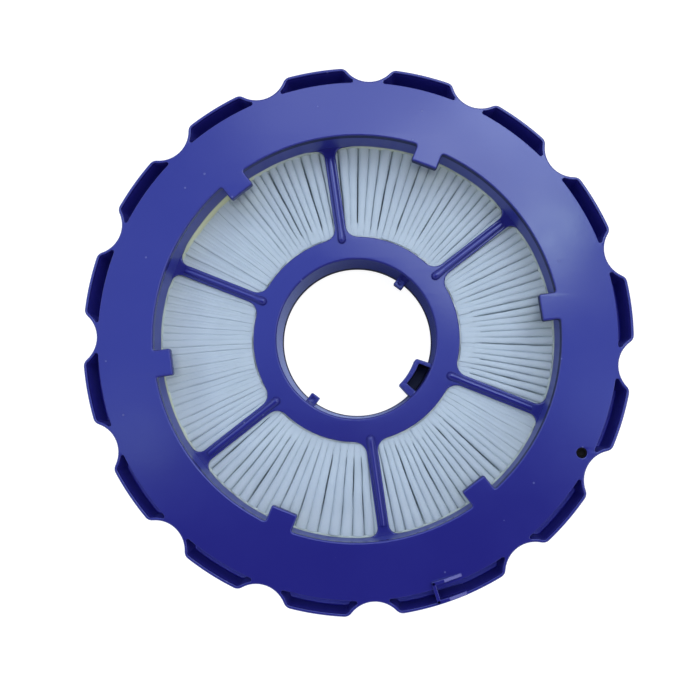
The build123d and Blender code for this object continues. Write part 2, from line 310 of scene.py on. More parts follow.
def without_repeats(points):
    """The loop without points that lie on the one before."""
    kept = []
    for point in points:
        if not kept or hypot(point[0] - kept[-1][0], point[1] - kept[-1][1]) > SAME_POINT:
            kept.append(point)
    if hypot(kept[0][0] - kept[-1][0], kept[0][1] - kept[-1][1]) < SAME_POINT:
        kept.pop()
    return kept


def walk(loop, corner, step, distance):
    """Point at a distance from a corner along the loop, and the points passed on the way."""
    count = len(loop)
    passed = []
    here, left = corner, distance
    while True:
        following = (here + step) % count
        length = hypot(loop[following][0] - loop[here][0], loop[following][1] - loop[here][1])
        if length > left:
            share = left / length
            x = loop[here][0] + (loop[following][0] - loop[here][0]) * share
            y = loop[here][1] + (loop[following][1] - loop[here][1]) * share
            return (x, y), passed
        left -= length
        here = following
        passed.append(here)


def round_corners(loop, radius, least_turn=CORNER_LEAST_TURN):
    """The loop with each sharp corner replaced by a small arc."""
    loop = without_repeats(loop)
    count = len(loop)
    rounds, dropped = {}, set()
    for i in range(count):
        ax, ay = loop[i - 1]
        x, y = loop[i]
        bx, by = loop[(i + 1) % count]
        turn = atan2(by - y, bx - x) - atan2(y - ay, x - ax)
        turn = abs((turn + pi) % (2 * pi) - pi)
        if turn < radians(least_turn):
            continue
        cut = radius * tan(turn / 2)
        start, before = walk(loop, i, -1, cut)
        end, after = walk(loop, i, 1, cut)
        dropped.update(before + after)
        rounds[i] = []
        for step in range(CORNER_STEPS + 1):
            t = step / CORNER_STEPS
            rounds[i].append(tuple(
                start[k] * (1 - t) ** 2 + 2 * loop[i][k] * t * (1 - t) + end[k] * t * t for k in (0, 1)
            ))
    rounded = []
    for i in range(count):
        if i in rounds:
            rounded += rounds[i]
        elif i not in dropped:
            rounded.append(loop[i])
    return without_repeats(rounded)


def inset(loop, distance):
    """The loop moved to its left, which is into the material."""
    moved = []
    count = len(loop)
    for i, (x, y) in enumerate(loop):
        before = Vector((x - loop[i - 1][0], y - loop[i - 1][1])).normalized()
        after = Vector((loop[(i + 1) % count][0] - x, loop[(i + 1) % count][1] - y)).normalized()
        line = (before + after).normalized()
        stretch = distance / max(0.6, line.dot(after))
        moved.append((x - line.y * stretch, y + line.x * stretch))
    return moved


def lobe_spans():
    """Start and end angle of each lobe, the long one last."""
    spans = []
    for i in range(NOTCH_COUNT - 1):
        start = NOTCH_START_ANGLE + i * NOTCH_PITCH_ANGLE
        spans.append((start, start + NOTCH_PITCH_ANGLE))
    spans.append((spans[-1][1], spans[-1][1] + LONG_LOBE_SPAN))
    return spans


def grip_loop():
    """Lobed outline of the grip ring: lobes with rounded corners and finger notches between."""
    inner = GRIP_RADIUS - LOBE_CORNER_ROUND
    reach = NOTCH_RADIUS + LOBE_CORNER_ROUND
    share = (inner ** 2 + NOTCH_CENTRE_RADIUS ** 2 - reach ** 2) / (2 * inner * NOTCH_CENTRE_RADIUS)
    corner_angle = degrees(atan2(sqrt(1 - share ** 2), share))
    cx, cy = polar(inner, -corner_angle)
    turn = degrees(atan2(-cy, NOTCH_CENTRE_RADIUS - cx))
    points = []
    for start, end in lobe_spans():
        first, last = start + corner_angle, end - corner_angle
        points += arc((0, 0), GRIP_RADIUS, first, last)
        points += arc(polar(inner, last), LOBE_CORNER_ROUND, last, end + turn)
        points += arc(polar(NOTCH_CENTRE_RADIUS, end), NOTCH_RADIUS, end + turn + 180, end - turn + 180)
        points += arc(polar(inner, end + corner_angle), LOBE_CORNER_ROUND, end - turn, end + corner_angle)
    return without_repeats(points)


def pocket_loop(start, end):
    """Blind pocket behind a lobe's outer wall, as a hole."""
    limit = NOTCH_RADIUS + POCKET_WALL
    points = []
    span = end - start - 2 * POCKET_END_ANGLE
    count = ceil(span / POCKET_STEP_ANGLE)
    for i in range(count + 1):
        angle = start + POCKET_END_ANGLE + span * i / count
        near = radians(min(angle - start, end - angle))
        radius = POCKET_OUTER_RADIUS
        beside = limit ** 2 - (NOTCH_CENTRE_RADIUS * sin(near)) ** 2
        if beside > 0:
            radius = min(radius, NOTCH_CENTRE_RADIUS * cos(near) - sqrt(beside))
        points.append(polar(radius, angle))
    points += arc((0, 0), POCKET_INNER_RADIUS, end - POCKET_END_ANGLE, start + POCKET_END_ANGLE)
    return round_corners(points, POCKET_CORNER_ROUND)[::-1]


def tab_loop():
    """Inner edge of the face plate with its six tabs, as a hole."""
    half = TAB_WIDTH / 2
    root = degrees(asin(half / PLATE_INNER_RADIUS))
    points = []
    for i in range(TAB_COUNT):
        angle = TAB_ANGLE + i * 360 / TAB_COUNT
        tab = [polar(PLATE_INNER_RADIUS, -root), (TAB_TIP_RADIUS, -half)]
        tab += [(TAB_TIP_RADIUS, half), polar(PLATE_INNER_RADIUS, root)]
        points += turned(tab, angle)
        points += arc((0, 0), PLATE_INNER_RADIUS, angle + root, angle + 360 / TAB_COUNT - root)
    points = round_corners(points, TAB_ROUND)
    return points[::-1]


def star_loop():
    """Outline of the hub with its spokes. The spoke ends flare and run on inside the body wall."""
    half = SPOKE_WIDTH / 2
    root_y = half + SPOKE_ROOT_ROUND
    root_x = sqrt((HUB_RADIUS + SPOKE_ROOT_ROUND) ** 2 - root_y ** 2)
    root = degrees(atan2(root_y, root_x))
    flare_y = half + SPOKE_FLARE_ROUND
    flare_x = sqrt((WALL_RADIUS - SPOKE_FLARE_ROUND) ** 2 - flare_y ** 2)
    flare = degrees(atan2(flare_y, flare_x))
    side = arc((root_x, -root_y), SPOKE_ROOT_ROUND, 180 - root, 90)
    side += arc((flare_x, -flare_y), SPOKE_FLARE_ROUND, 90, -flare)
    end_radius, end_angle = WALL_RADIUS + 0.9, flare + 0.9
    side += [polar(WALL_RADIUS + 0.4, -end_angle)]
    spoke = side + arc((0, 0), end_radius, -end_angle, end_angle)
    spoke += [(x, -y) for x, y in reversed(side)]
    points = []
    for i in range(SPOKE_COUNT):
        angle = SPOKE_ANGLE + i * 360 / SPOKE_COUNT
        points += turned(spoke, angle)
        points += arc((0, 0), HUB_RADIUS, angle + root, angle + 360 / SPOKE_COUNT - root)
    return without_repeats(points)


def sector_loop(outer, inner, start, end, half_gap=0.0):
    """Ring sector, anticlockwise, with its straight sides moved in by half_gap."""
    outer_gap = degrees(asin(half_gap / outer))
    inner_gap = degrees(asin(half_gap / inner))
    points = arc((0, 0), outer, start + outer_gap, end - outer_gap)
    points += arc((0, 0), inner, end - inner_gap, start + inner_gap)
    return points


# ---- Skins: points and faces of a piece ----

class Skin:
    """Points in millimetres, faces, and for each point how much of a rounded rim it is."""

    def __init__(self):
        self.points = []
        self.faces = []
        self.rims = []

    def row(self, loop, level, rim=0.0):
        """A loop of points at one level."""
        first = len(self.points)
        self.points += [(x, y, level) for x, y in loop]
        self.rims += [rim] * len(loop)
        return list(range(first, len(self.points)))

    def band(self, upper, lower):
        """Faces between two rows."""
        count = len(upper)
        for i in range(count):
            j = (i + 1) % count
            self.faces.append((lower[i], lower[j], upper[j], upper[i]))

    def bands(self, rows):
        """Faces between each row and the next."""
        for upper, lower in zip(rows, rows[1:]):
            self.band(upper, lower)

    def cap(self, rows, up=True):
        """Flat faces inside the first row and outside the others."""
        flat = [i for row in rows for i in row]
        lines = [[Vector((self.points[i][0], self.points[i][1], 0.0)) for i in row] for row in rows]
        for corners in tessellate_polygon(lines):
            a, b, c = (flat[k] for k in corners)
            ab = Vector(self.points[b]) - Vector(self.points[a])
            ac = Vector(self.points[c]) - Vector(self.points[a])
            if (ab.x * ac.y - ab.y * ac.x > 0) != up:
                b, c = c, b
            self.faces.append((a, b, c))

    def wall(self, loop, top, bottom, top_edge=EDGE, bottom_edge=EDGE):
        """Upright wall along a loop. Its edges are rounded by a radius, a negative one for an inner corner."""
        rows = []
        for step in range(EDGE_STEPS + 1 if top_edge else 1):
            turn = pi / 2 * step / EDGE_STEPS if top_edge else pi / 2
            shape = inset(loop, top_edge * (1 - sin(turn)))
            rows.append(self.row(shape, top - abs(top_edge) * (1 - cos(turn)), sin(2 * turn)))
        for step in range(EDGE_STEPS + 1 if bottom_edge else 1):
            turn = pi / 2 * step / EDGE_STEPS
            shape = inset(loop, bottom_edge * (1 - cos(turn)))
            rim = sin(2 * turn) if bottom_edge > 0 else 0.0
            rows.append(self.row(shape, bottom + abs(bottom_edge) * (1 - sin(turn)), rim))
        self.bands(rows)
        return rows[0], rows[-1]

    def rings(self, places):
        """Circles of (radius, level), joined in order, as a lathe makes them."""
        count = ceil(2 * pi * max(r for r, _ in places) / ARC_PITCH)
        rows = []
        for radius, level in places:
            loop = [polar(radius, 360 * i / count) for i in range(count)]
            rows.append(self.row(loop[::-1], level))
        self.bands(rows)
        return rows

    def prism(self, loop, base, top, top_edge=EDGE, bottom_edge=EDGE):
        """Closed upright solid on a loop."""
        first, last = self.wall(loop, top, base, top_edge, bottom_edge)
        self.cap([first])
        self.cap([last], up=False)


def rounded_section(section, radius):
    """A lathe's closed section (radius, level) with its corners rounded."""
    points = []
    count = len(section)
    for i in range(count):
        corner = Vector(section[i])
        before = (Vector(section[i - 1]) - corner).normalized()
        after = (Vector(section[(i + 1) % count]) - corner).normalized()
        for step in range(SECTION_STEPS + 1):
            t = step / SECTION_STEPS
            start, end = corner + before * radius, corner + after * radius
            points.append(tuple(start * (1 - t) ** 2 + corner * (2 * t * (1 - t)) + end * t * t))
    return points


# ---- Node trees ----

class Tree:
    """A node tree that is written down as sums of sockets and numbers."""

    def __init__(self, tree):
        self.tree = tree
        self.nodes = tree.nodes

    def feed(self, socket, value):
        """Links a socket to an input, or writes a number or colour into it."""
        if isinstance(value, bpy.types.NodeSocket):
            self.tree.links.new(value, socket)
        elif isinstance(value, (tuple, list)) and len(value) == 3 and len(socket.default_value) == 4:
            socket.default_value = (*value, 1.0)
        else:
            socket.default_value = value

    def add(self, kind, inputs=(), **settings):
        """A node with its settings and inputs, which are named or numbered."""
        node = self.nodes.new(kind)
        for name, value in settings.items():
            setattr(node, name, value)
        for key, value in dict(inputs).items():
            self.feed(node.inputs[key], value)
        return node

    def math(self, operation, *values):
        """Result of a maths node."""
        return self.add("ShaderNodeMath", dict(enumerate(values)), operation=operation).outputs[0]

    def times(self, value, *others):
        """Product of values."""
        for other in others:
            value = self.math("MULTIPLY", value, other)
        return value

    def plus(self, one, other):
        """Sum of two values."""
        return self.math("ADD", one, other)

    def minus(self, one, other):
        """Difference of two values."""
        return self.math("SUBTRACT", one, other)

    def over(self, one, other):
        """Quotient of two values."""
        return self.math("DIVIDE", one, other)

    def clamp(self, value):
        """Value kept between 0 and 1."""
        return self.math("MINIMUM", self.math("MAXIMUM", value, 0.0), 1.0)

    def measure(self, operation, *vectors):
        """Dot product, distance or length, as a value."""
        node = self.add("ShaderNodeVectorMath", dict(enumerate(vectors)), operation=operation)
        return node.outputs["Value"]

    def scaled(self, vector, factor):
        """Vector times a value."""
        return self.add("ShaderNodeVectorMath", {0: vector, "Scale": factor}, operation="SCALE").outputs[0]

    def from_axis(self, place):
        """Place without its height, its distance from the axis, and its height."""
        split = self.add("ShaderNodeSeparateXYZ", {0: place}).outputs
        flat = self.add("ShaderNodeCombineXYZ", {0: split[0], 1: split[1]}).outputs[0]
        return flat, self.measure("LENGTH", flat), split[2]

    def stored(self, name):
        """Value stored on the points of the piece."""
        return self.add("ShaderNodeAttribute", attribute_name=name).outputs["Fac"]

    def blend(self, share, low, high):
        """Value between two values."""
        node = self.add("ShaderNodeMix", {0: share, 2: low, 3: high}, data_type="FLOAT")
        return node.outputs[0]

    def tint(self, share, low, high):
        """Colour between two colours."""
        node = self.add("ShaderNodeMix", {0: share, 6: low, 7: high}, data_type="RGBA")
        return node.outputs[2]

    def step(self, value, low, high, start=0.0, end=1.0):
        """Smooth rise from start to end as value goes from low to high."""
        node = self.add("ShaderNodeMapRange", {0: value, 1: low, 2: high, 3: start, 4: end})
        node.interpolation_type = "SMOOTHSTEP"
        return node.outputs[0]

    def curve(self, value, points):
        """Value read from a smooth curve through points (x, y)."""
        node = self.add("ShaderNodeFloatCurve", {1: value})
        line = node.mapping.curves[0]
        while len(line.points) < len(points):
            line.points.new(0.5, 0.5)
        for point, place in zip(line.points, sorted(points)):
            point.location = place
            point.handle_type = "AUTO"
        node.mapping.update()
        return node.outputs[0]

    def noise(self, vector, scale, detail=2.0, roughness=0.5):
        """Noise value about 0.5."""
        inputs = {"Vector": vector, "Scale": scale, "Detail": detail, "Roughness": roughness}
        return self.add("ShaderNodeTexNoise", inputs).outputs[0]


def new_group(name, kind, inputs, outputs):
    """Empty node group with named sockets, and its input and output nodes."""
    group = bpy.data.node_groups.new(name, kind)
    for title, socket, value in inputs:
        made = group.interface.new_socket(title, in_out="INPUT", socket_type=socket)
        if value is not None:
            made.default_value = value
    for title, socket in outputs:
        group.interface.new_socket(title, in_out="OUTPUT", socket_type=socket)
    tree = Tree(group)
    return tree, group.nodes.new("NodeGroupInput").outputs, group.nodes.new("NodeGroupOutput").inputs


def end_geometry(tree, out, geometry, finish):
    """Makes geometry real, gives it its finish and hands it out of the group."""
    real = tree.add("GeometryNodeRealizeInstances", {0: geometry})
    finished = tree.add("GeometryNodeSetMaterial", {"Geometry": real.outputs[0], "Material": finish})
    tree.feed(out[0], finished.outputs[0])
    return tree.tree


def ring_of_copies_tree():
    """Copies of a blank, turned about the axis at equal angles."""
    tree, given, out = new_group(
        "ring_of_copies",
        "GeometryNodeTree",
        [
            ("Blank", "NodeSocketGeometry", None),
            ("Count", "NodeSocketInt", SPOKE_COUNT),
            ("Start angle", "NodeSocketFloat", 0.0),
            ("Pitch angle", "NodeSocketFloat", SPOKE_PITCH_ANGLE),
            ("Finish", "NodeSocketMaterial", None),
        ],
        [("Ring", "NodeSocketGeometry")],
    )
    places = tree.add("GeometryNodePoints", {"Count": given["Count"]})
    index = tree.add("GeometryNodeInputIndex").outputs[0]
    angle = tree.math("MULTIPLY_ADD", index, given["Pitch angle"], given["Start angle"])
    turn = tree.add("ShaderNodeCombineXYZ", {2: tree.math("RADIANS", angle)})
    copies = tree.add("GeometryNodeInstanceOnPoints", {
        "Points": places.outputs[0], "Instance": given["Blank"], "Rotation": turn.outputs[0],
    })
    return end_geometry(tree, out, copies.outputs[0], given["Finish"])


def fold_places(tree, fold, folds):
    """Angle and half pitch of a fold, how open its gap is, and how far it leans, from its stretch."""
    count = len(FOLD_STRETCHES)
    total = sum(stretch[0] for stretch in FOLD_STRETCHES)
    passed, shares = 0.0, [(0.0, 0.0)]
    for i, stretch in enumerate(FOLD_STRETCHES):
        passed += stretch[0] / total
        shares.append((min(passed, 1.0), (i + 1) / count))
    start = tree.curve(tree.over(fold, folds), shares)
    end = tree.curve(tree.over(tree.plus(fold, 1.0), folds), shares)
    middle = tree.times(tree.plus(start, end), 0.5)
    turn = tree.math("MULTIPLY_ADD", middle, 2 * pi, radians(FOLD_START_ANGLE))
    half_turn = tree.times(tree.minus(end, start), pi)
    centres = [(i + 0.5) / count for i in range(count)]
    opening = tree.curve(middle, [(x, stretch[1]) for x, stretch in zip(centres, FOLD_STRETCHES)])
    tilt = tree.curve(middle, [(x, 0.5 + stretch[2]) for x, stretch in zip(centres, FOLD_STRETCHES)])
    return turn, half_turn, opening, tree.minus(tilt, 0.5)


def gap_bottom(tree, out_share, opening, closed, top, crest_drop, base_level):
    """Level of a gap's bottom: deep in open stretches, rising outwards, and shut by adhesive at both ends."""
    shut = tree.math("MAXIMUM", closed, tree.step(out_share, 0.93, 1.0))
    shallow = tree.minus(tree.minus(top, crest_drop), 0.6 * MM)
    bottom = tree.blend(tree.step(opening, 0.05, 0.35), shallow, base_level)
    softened = tree.times(tree.step(out_share, 0.35, 0.95), tree.blend(opening, 1.0, 0.92))
    bottom = tree.blend(softened, bottom, tree.minus(shallow, 0.4 * MM))
    return tree.blend(shut, bottom, tree.minus(top, tree.times(crest_drop, 0.8)))


def folded_ring_tree():
    """One sheet folded round a ring: crests on top, gaps of differing width and depth, nothing quite even."""
    tree, given, out = new_group(
        "folded_ring",
        "GeometryNodeTree",
        [
            ("Folds", "NodeSocketInt", FOLD_COUNT),
            ("Inner radius", "NodeSocketFloat", MEDIA_INNER_RADIUS * MM),
            ("Outer radius", "NodeSocketFloat", MEDIA_OUTER_RADIUS * MM),
            ("Top level", "NodeSocketFloat", MEDIA_TOP_LEVEL * MM),
            ("Base level", "NodeSocketFloat", MEDIA_BASE_LEVEL * MM),
            ("Hub fill", "NodeSocketFloat", HUB_FILL),
            ("Wall fill", "NodeSocketFloat", WALL_FILL),
            ("Unevenness", "NodeSocketFloat", FOLD_UNEVENNESS),
            ("Seed", "NodeSocketInt", FOLD_SEED),
            ("Finish", "NodeSocketMaterial", None),
        ],
        [("Sheet", "NodeSocketGeometry")],
    )
    times, plus, minus, over, step, blend = tree.times, tree.plus, tree.minus, tree.over, tree.step, tree.blend
    folds, seed, uneven, base_level = given["Folds"], given["Seed"], given["Unevenness"], given["Base level"]
    across = tree.math("MULTIPLY_ADD", folds, FOLD_SAMPLES, 1)
    grid = tree.add("GeometryNodeMeshGrid", {
        "Size X": 1.0, "Size Y": 1.0, "Vertices X": across, "Vertices Y": FOLD_ROWS,
    })
    place = tree.add("ShaderNodeSeparateXYZ", {0: tree.add("GeometryNodeInputPosition").outputs[0]})
    along = plus(place.outputs[0], 0.5)
    out_share = plus(place.outputs[1], 0.5)
    # Which fold a point is on, and where across it: 0 on the crest's line, 1 in the gap
    travel = tree.math("MULTIPLY_ADD", along, folds, 0.001)
    fold = tree.math("FLOOR", travel)
    phase = over(tree.math("ROUND", times(minus(travel, fold), FOLD_SAMPLES)), FOLD_SAMPLES)
    number = tree.math("MODULO", fold, folds)
    side = tree.math("SIGN", minus(phase, 0.5))
    drop = times(tree.math("ABSOLUTE", minus(phase, 0.5)), 2.0)

    def chance(low, high, offset):
        """Random value of a fold."""
        inputs = {2: low, 3: high, "ID": number, "Seed": plus(seed, offset)}
        return tree.add("FunctionNodeRandomValue", inputs).outputs[1]

    # Folds crowd together in some stretches and open up in others
    turn, half_turn, opening, tilt = fold_places(tree, fold, folds)
    spread = tree.math("MULTIPLY_ADD", opening, 0.75, 0.25)
    opening = tree.clamp(plus(opening, times(chance(-0.25, 0.25, 1), spread, uneven)))
    # Radius, half the width that a fold has there, and half the width of the sheet's own crest
    radius = blend(out_share, given["Inner radius"], given["Outer radius"])
    half = times(radius, half_turn)
    fill = blend(step(out_share, 0.15, 1.0), given["Hub fill"], given["Wall fill"])
    fill = plus(fill, blend(opening, 0.06, -0.12))
    crest = times(half, tree.math("MINIMUM", fill, MOST_FILL))
    crest_turn = times(tree.math("MINIMUM", over(drop, CREST_SHARE), 1.0), pi / 2)
    flank = tree.clamp(over(minus(drop, CREST_SHARE), FLANK_SHARE))
    # Adhesive shuts the gaps near the hub, further out on some folds than on others and on the right
    on_right = step(tree.math("COSINE", minus(turn, radians(4))), 0.93, 0.99, 0.1, 0.2)
    gap_start = plus(chance(0.0, 0.13, 3), on_right)
    closed = step(minus(gap_start, out_share), 0.0, 0.045)
    roundness = blend(out_share, 0.28, blend(opening, 0.4, 0.7))
    crest_drop = times(crest, roundness, blend(closed, 1.0, 0.3))
    top = minus(given["Top level"], times(chance(0.0, 0.6 * MM, 2), uneven))
    # Between the spokes the sheet climbs a little towards the wall
    from_spoke = tree.math("COSINE", times(minus(turn, radians(SPOKE_ANGLE)), SPOKE_COUNT))
    climb = times(step(from_spoke, 0.7, 0.9, WALL_CLIMB * MM, 0.0), step(out_share, 0.75, 1.0))
    top = plus(top, climb)
    base = gap_bottom(tree, out_share, opening, closed, top, crest_drop, base_level)
    shoulder = minus(top, crest_drop)
    level = minus(top, times(crest_drop, minus(1.0, tree.math("COSINE", crest_turn))))
    # Tightly packed folds show a crease along the crest
    crease = blend(step(opening, 0.0, 0.35), times(crest, 0.45), 0.0)
    crease = times(crease, step(out_share, 0.1, 0.3))
    level = minus(level, times(crease, step(drop, 0.0, 0.25, 1.0, 0.0)))
    shoulder_level = blend(flank, shoulder, base)
    on_crest = tree.math("LESS_THAN", drop, CREST_SHARE + 0.01)
    level = blend(on_crest, tree.math("MINIMUM", shoulder_level, shoulder), level)
    flank_side = blend(flank, crest, times(half, 0.985))
    sideways = blend(on_crest, flank_side, times(crest, tree.math("SINE", crest_turn)))
    sideways = blend(tree.math("GREATER_THAN", drop, 0.99), sideways, half)
    # Crests lean and wander a little, and the gap's bottom stays
    height = over(minus(level, base_level), (MEDIA_TOP_LEVEL - MEDIA_BASE_LEVEL) * MM)
    lean = times(plus(chance(-0.6, 0.6, 4), tilt), times(minus(half, crest), uneven))
    strip = tree.add("ShaderNodeCombineXYZ", {0: times(number, 0.37), 1: times(out_share, 1.6)})
    wander = times(minus(tree.noise(strip.outputs[0], 1.7), 0.5), 0.8 * MM)
    shift = times(plus(lean, times(wander, uneven)), height)
    shift = times(shift, tree.math("MINIMUM", times(out_share, 5.0), 1.0))
    angle = plus(turn, over(plus(times(side, sideways), shift), radius))
    spot = tree.add("ShaderNodeCombineXYZ", {
        0: times(radius, tree.math("COSINE", angle)), 1: times(radius, tree.math("SINE", angle)), 2: level,
    })
    stored = tree.add("GeometryNodeStoreNamedAttribute", {"Geometry": grid.outputs[0], "Name": "fold_height"},
                      data_type="FLOAT", domain="POINT")
    tree.feed([s for s in stored.inputs if s.name == "Value" and s.enabled][0], height)
    moved = tree.add("GeometryNodeSetPosition", {"Geometry": stored.outputs[0], "Position": spot.outputs[0]})
    joined = tree.add("GeometryNodeMergeByDistance", {
        "Geometry": moved.outputs[0], "Distance": WELD_DISTANCE * MM,
    })
    return end_geometry(tree, out, joined.outputs[0], given["Finish"])


# ---- Finishes ----

def grain_group():
    """Moulded or sheet surface: a fine height for bump, and slow smudges."""
    tree, given, out = new_group(
        "surface_grain",
        "ShaderNodeTree",
        [
            ("Vector", "NodeSocketVector", None),
            ("Grain scale", "NodeSocketFloat", 1500.0),
            ("Smudge scale", "NodeSocketFloat", 45.0),
            ("Smudge sharpness", "NodeSocketFloat", 0.2),
        ],
        [("Height", "NodeSocketFloat"), ("Smudge", "NodeSocketFloat")],
    )
    fine = tree.noise(given["Vector"], given["Grain scale"], 3.0, 0.6)
    wide = tree.noise(given["Vector"], given["Smudge scale"], 3.0, 0.55)
    low = tree.minus(0.5, given["Smudge sharpness"])
    high = tree.plus(0.5, given["Smudge sharpness"])
    tree.feed(out["Height"], fine)
    tree.feed(out["Smudge"], tree.step(wide, low, high))
    return tree.tree


def specks_group():
    """Scattered dust specks as a mask."""
    tree, given, out = new_group(
        "dust_specks",
        "ShaderNodeTree",
        [
            ("Vector", "NodeSocketVector", None),
            ("Scale", "NodeSocketFloat", 260.0),
            ("Share", "NodeSocketFloat", 0.08),
            ("Size", "NodeSocketFloat", 0.18),
        ],
        [("Mask", "NodeSocketFloat")],
    )
    cells = tree.add("ShaderNodeTexVoronoi", {"Vector": given["Vector"], "Scale": given["Scale"]})
    chosen = tree.add("ShaderNodeSeparateXYZ", {0: cells.outputs["Color"]}).outputs[0]
    there = tree.math("LESS_THAN", chosen, given["Share"])
    spot = tree.step(cells.outputs["Distance"], tree.times(given["Size"], 0.5), given["Size"], 1.0, 0.0)
    tree.feed(out["Mask"], tree.times(there, spot))
    return tree.tree


def clear_tree(owner):
    """Emptied node tree of a material or a world."""
    owner.use_nodes = True
    owner.node_tree.nodes.clear()
    return Tree(owner.node_tree)


def new_finish(name):
    """Material with a plain shader, and the object's coordinates."""
    made = bpy.data.materials.new(name)
    tree = clear_tree(made)
    shader = tree.add("ShaderNodeBsdfPrincipled")
    output = tree.add("ShaderNodeOutputMaterial")
    tree.feed(output.inputs["Surface"], shader.outputs[0])
    place = tree.add("ShaderNodeTexCoord").outputs["Object"]
    return made, tree, shader, place


def use_group(tree, group, **values):
    """A group placed in a material with its own values."""
    node = tree.add("ShaderNodeGroup", node_tree=group)
    for name, value in values.items():
        tree.feed(node.inputs[name.replace("_", " ").capitalize()], value)
    return node.outputs


def add_relief(tree, shader, height, strength, depth):
    """Fine bumps on a shader, as deep as given in millimetres."""
    bump = tree.add("ShaderNodeBump", {"Strength": strength, "Distance": depth * MM, "Height": height})
    tree.feed(shader.inputs["Normal"], bump.outputs[0])


def blue_plastic(grain, specks):
    """Deep blue glossy moulded plastic: faint smudges, dust, pale painted rim highlights, and painted light and
    shade.
    """
    made, tree, shader, place = new_finish("blue_plastic")
    surface = use_group(tree, grain, vector=place, grain_scale=900.0, smudge_scale=38.0, smudge_sharpness=0.25)
    dust = use_group(tree, specks, vector=place, scale=300.0, share=0.05, size=0.16)["Mask"]
    flat, reach, level = tree.from_axis(place)

    def less(value, most):
        """Mask where a value is less than so many millimetres."""
        return tree.math("LESS_THAN", value, most * MM)

    def more(value, least):
        """Mask where a value is more than so many millimetres."""
        return tree.math("GREATER_THAN", value, least * MM)

    def above(low, high):
        """Mask that rises between two levels."""
        return tree.step(level, low * MM, high * MM)

    def below(low, high):
        """Mask that falls between two levels."""
        return tree.step(level, low * MM, high * MM, 1.0, 0.0)

    # The body wall's inside is a little rougher and painted lighter, with a painted shadow in the joint under
    # the face plate's edge
    inside = tree.times(less(reach, WALL_RADIUS + 0.5), above(GRILLE_LEVEL - 0.2, GRILLE_LEVEL + 0.4),
                        below(FACE_LEVEL - 0.4, FACE_LEVEL - 0.05))
    wall = tree.times(inside, more(reach, PLATE_INNER_RADIUS + 0.2))
    shaded = tree.measure("DOT_PRODUCT", flat, JOINT_SHADOW_SIDE)
    joint = tree.times(inside, above(PLATE_UNDERSIDE - 1.8, PLATE_UNDERSIDE - 0.4),
                       tree.step(shaded, -20 * MM, 30 * MM, 0.2, 1.0))
    # Painted light: a brighter blue in the pockets stands in for light that comes through their thin walls
    pocket = tree.times(more(reach, POCKET_INNER_RADIUS - 0.3), less(reach, POCKET_OUTER_RADIUS + 0.2),
                        below(FACE_LEVEL - 2.0, FACE_LEVEL - 0.4))
    # The slot of the catch box is black inside
    x, y = polar(BOX_SLOT_RADIUS * MM, BOX_SLOT_ANGLE)
    along = tree.measure("DISTANCE", flat, (x, y, 0.0))
    across = tree.math("ABSOLUTE", tree.minus(reach, BOX_SLOT_RADIUS * MM))
    slot = tree.times(less(along, BOX_SLOT_HALF_LENGTH), less(across, BOX_SLOT_HALF_WIDTH),
                      more(level, COLLAR_END_LEVEL + BOX_FLOOR - 1.0),
                      below(BOX_TOP_LEVEL - 1.8, BOX_TOP_LEVEL - 0.3))
    colour = tree.tint(tree.times(surface["Smudge"], 0.35), DEEP_BLUE, SMUDGED_BLUE)
    # The rims get a paler painted highlight; the wall, joint and pockets get painted light and shade
    for mask, share, tone in (
        (tree.stored("rim"), 0.2, RIM_HIGHLIGHT_BLUE), (wall, 0.6, WALL_PAINTED_LIGHT), (joint, 0.85, JOINT_PAINTED_SHADOW),
        (pocket, 1.0, POCKET_PAINTED_GLOW), (slot, 0.95, SLOT_BLACK), (dust, 0.14, BLUE_DUST),
    ):
        colour = tree.tint(tree.times(mask, share), colour, tone)
    tree.feed(shader.inputs["Base Color"], colour)
    rough = tree.math("MULTIPLY_ADD", surface["Smudge"], 0.07, 0.12)
    for mask, added in ((wall, 0.2), (tree.math("MAXIMUM", joint, slot), 0.5), (pocket, 0.25), (dust, 0.3)):
        rough = tree.math("MULTIPLY_ADD", mask, added, rough)
    tree.feed(shader.inputs["Roughness"], rough)
    shader.inputs["Specular IOR Level"].default_value = 0.8
    shader.inputs["Specular Tint"].default_value = BLUE_GLOSS
    add_relief(tree, shader, surface["Height"], 0.06, 0.2)
    return made


def white_media(grain):
    """Non-woven filter sheet: pale blue-white, matt, with fibres; painted shade makes it greener down in the
    gaps and at the wall.
    """
    made, tree, shader, place = new_finish("white_media")
    surface = use_group(tree, grain, vector=place, grain_scale=1400.0, smudge_scale=90.0, smudge_sharpness=0.3)
    height = tree.stored("fold_height")
    reach = tree.from_axis(place)[1]
    colour = tree.tint(surface["Smudge"], SHEET_SHADE, SHEET_LIGHT)
    # Painted shade: darker and greener towards the wall and down in the gaps
    colour = tree.tint(tree.step(reach, 52 * MM, 70 * MM, 0.0, 0.6), colour, SHEET_SHADED_AT_WALL)
    colour = tree.tint(tree.step(height, 0.35, 0.95, 0.85, 0.0), colour, SHEET_SHADED_IN_GAP)
    tree.feed(shader.inputs["Base Color"], colour)
    shader.inputs["Roughness"].default_value = 0.9
    shader.inputs["Specular IOR Level"].default_value = 0.25
    add_relief(tree, shader, surface["Height"], 0.25, 0.2)
    return made


def cured_glue(grain):
    """Pale adhesive, yellow-green where it is thick."""
    made, tree, shader, place = new_finish("cured_glue")
    surface = use_group(tree, grain, vector=place, grain_scale=500.0, smudge_scale=160.0, smudge_sharpness=0.2)
    colour = tree.tint(surface["Smudge"], GLUE_SHADE, GLUE_LIGHT)
    colour = tree.tint(tree.stored("rim"), colour, THICK_GLUE)
    tree.feed(shader.inputs["Base Color"], colour)
    tree.feed(shader.inputs["Roughness"], tree.math("MULTIPLY_ADD", surface["Smudge"], 0.2, 0.35))
    add_relief(tree, shader, surface["Height"], 0.3, 0.3)
    return made


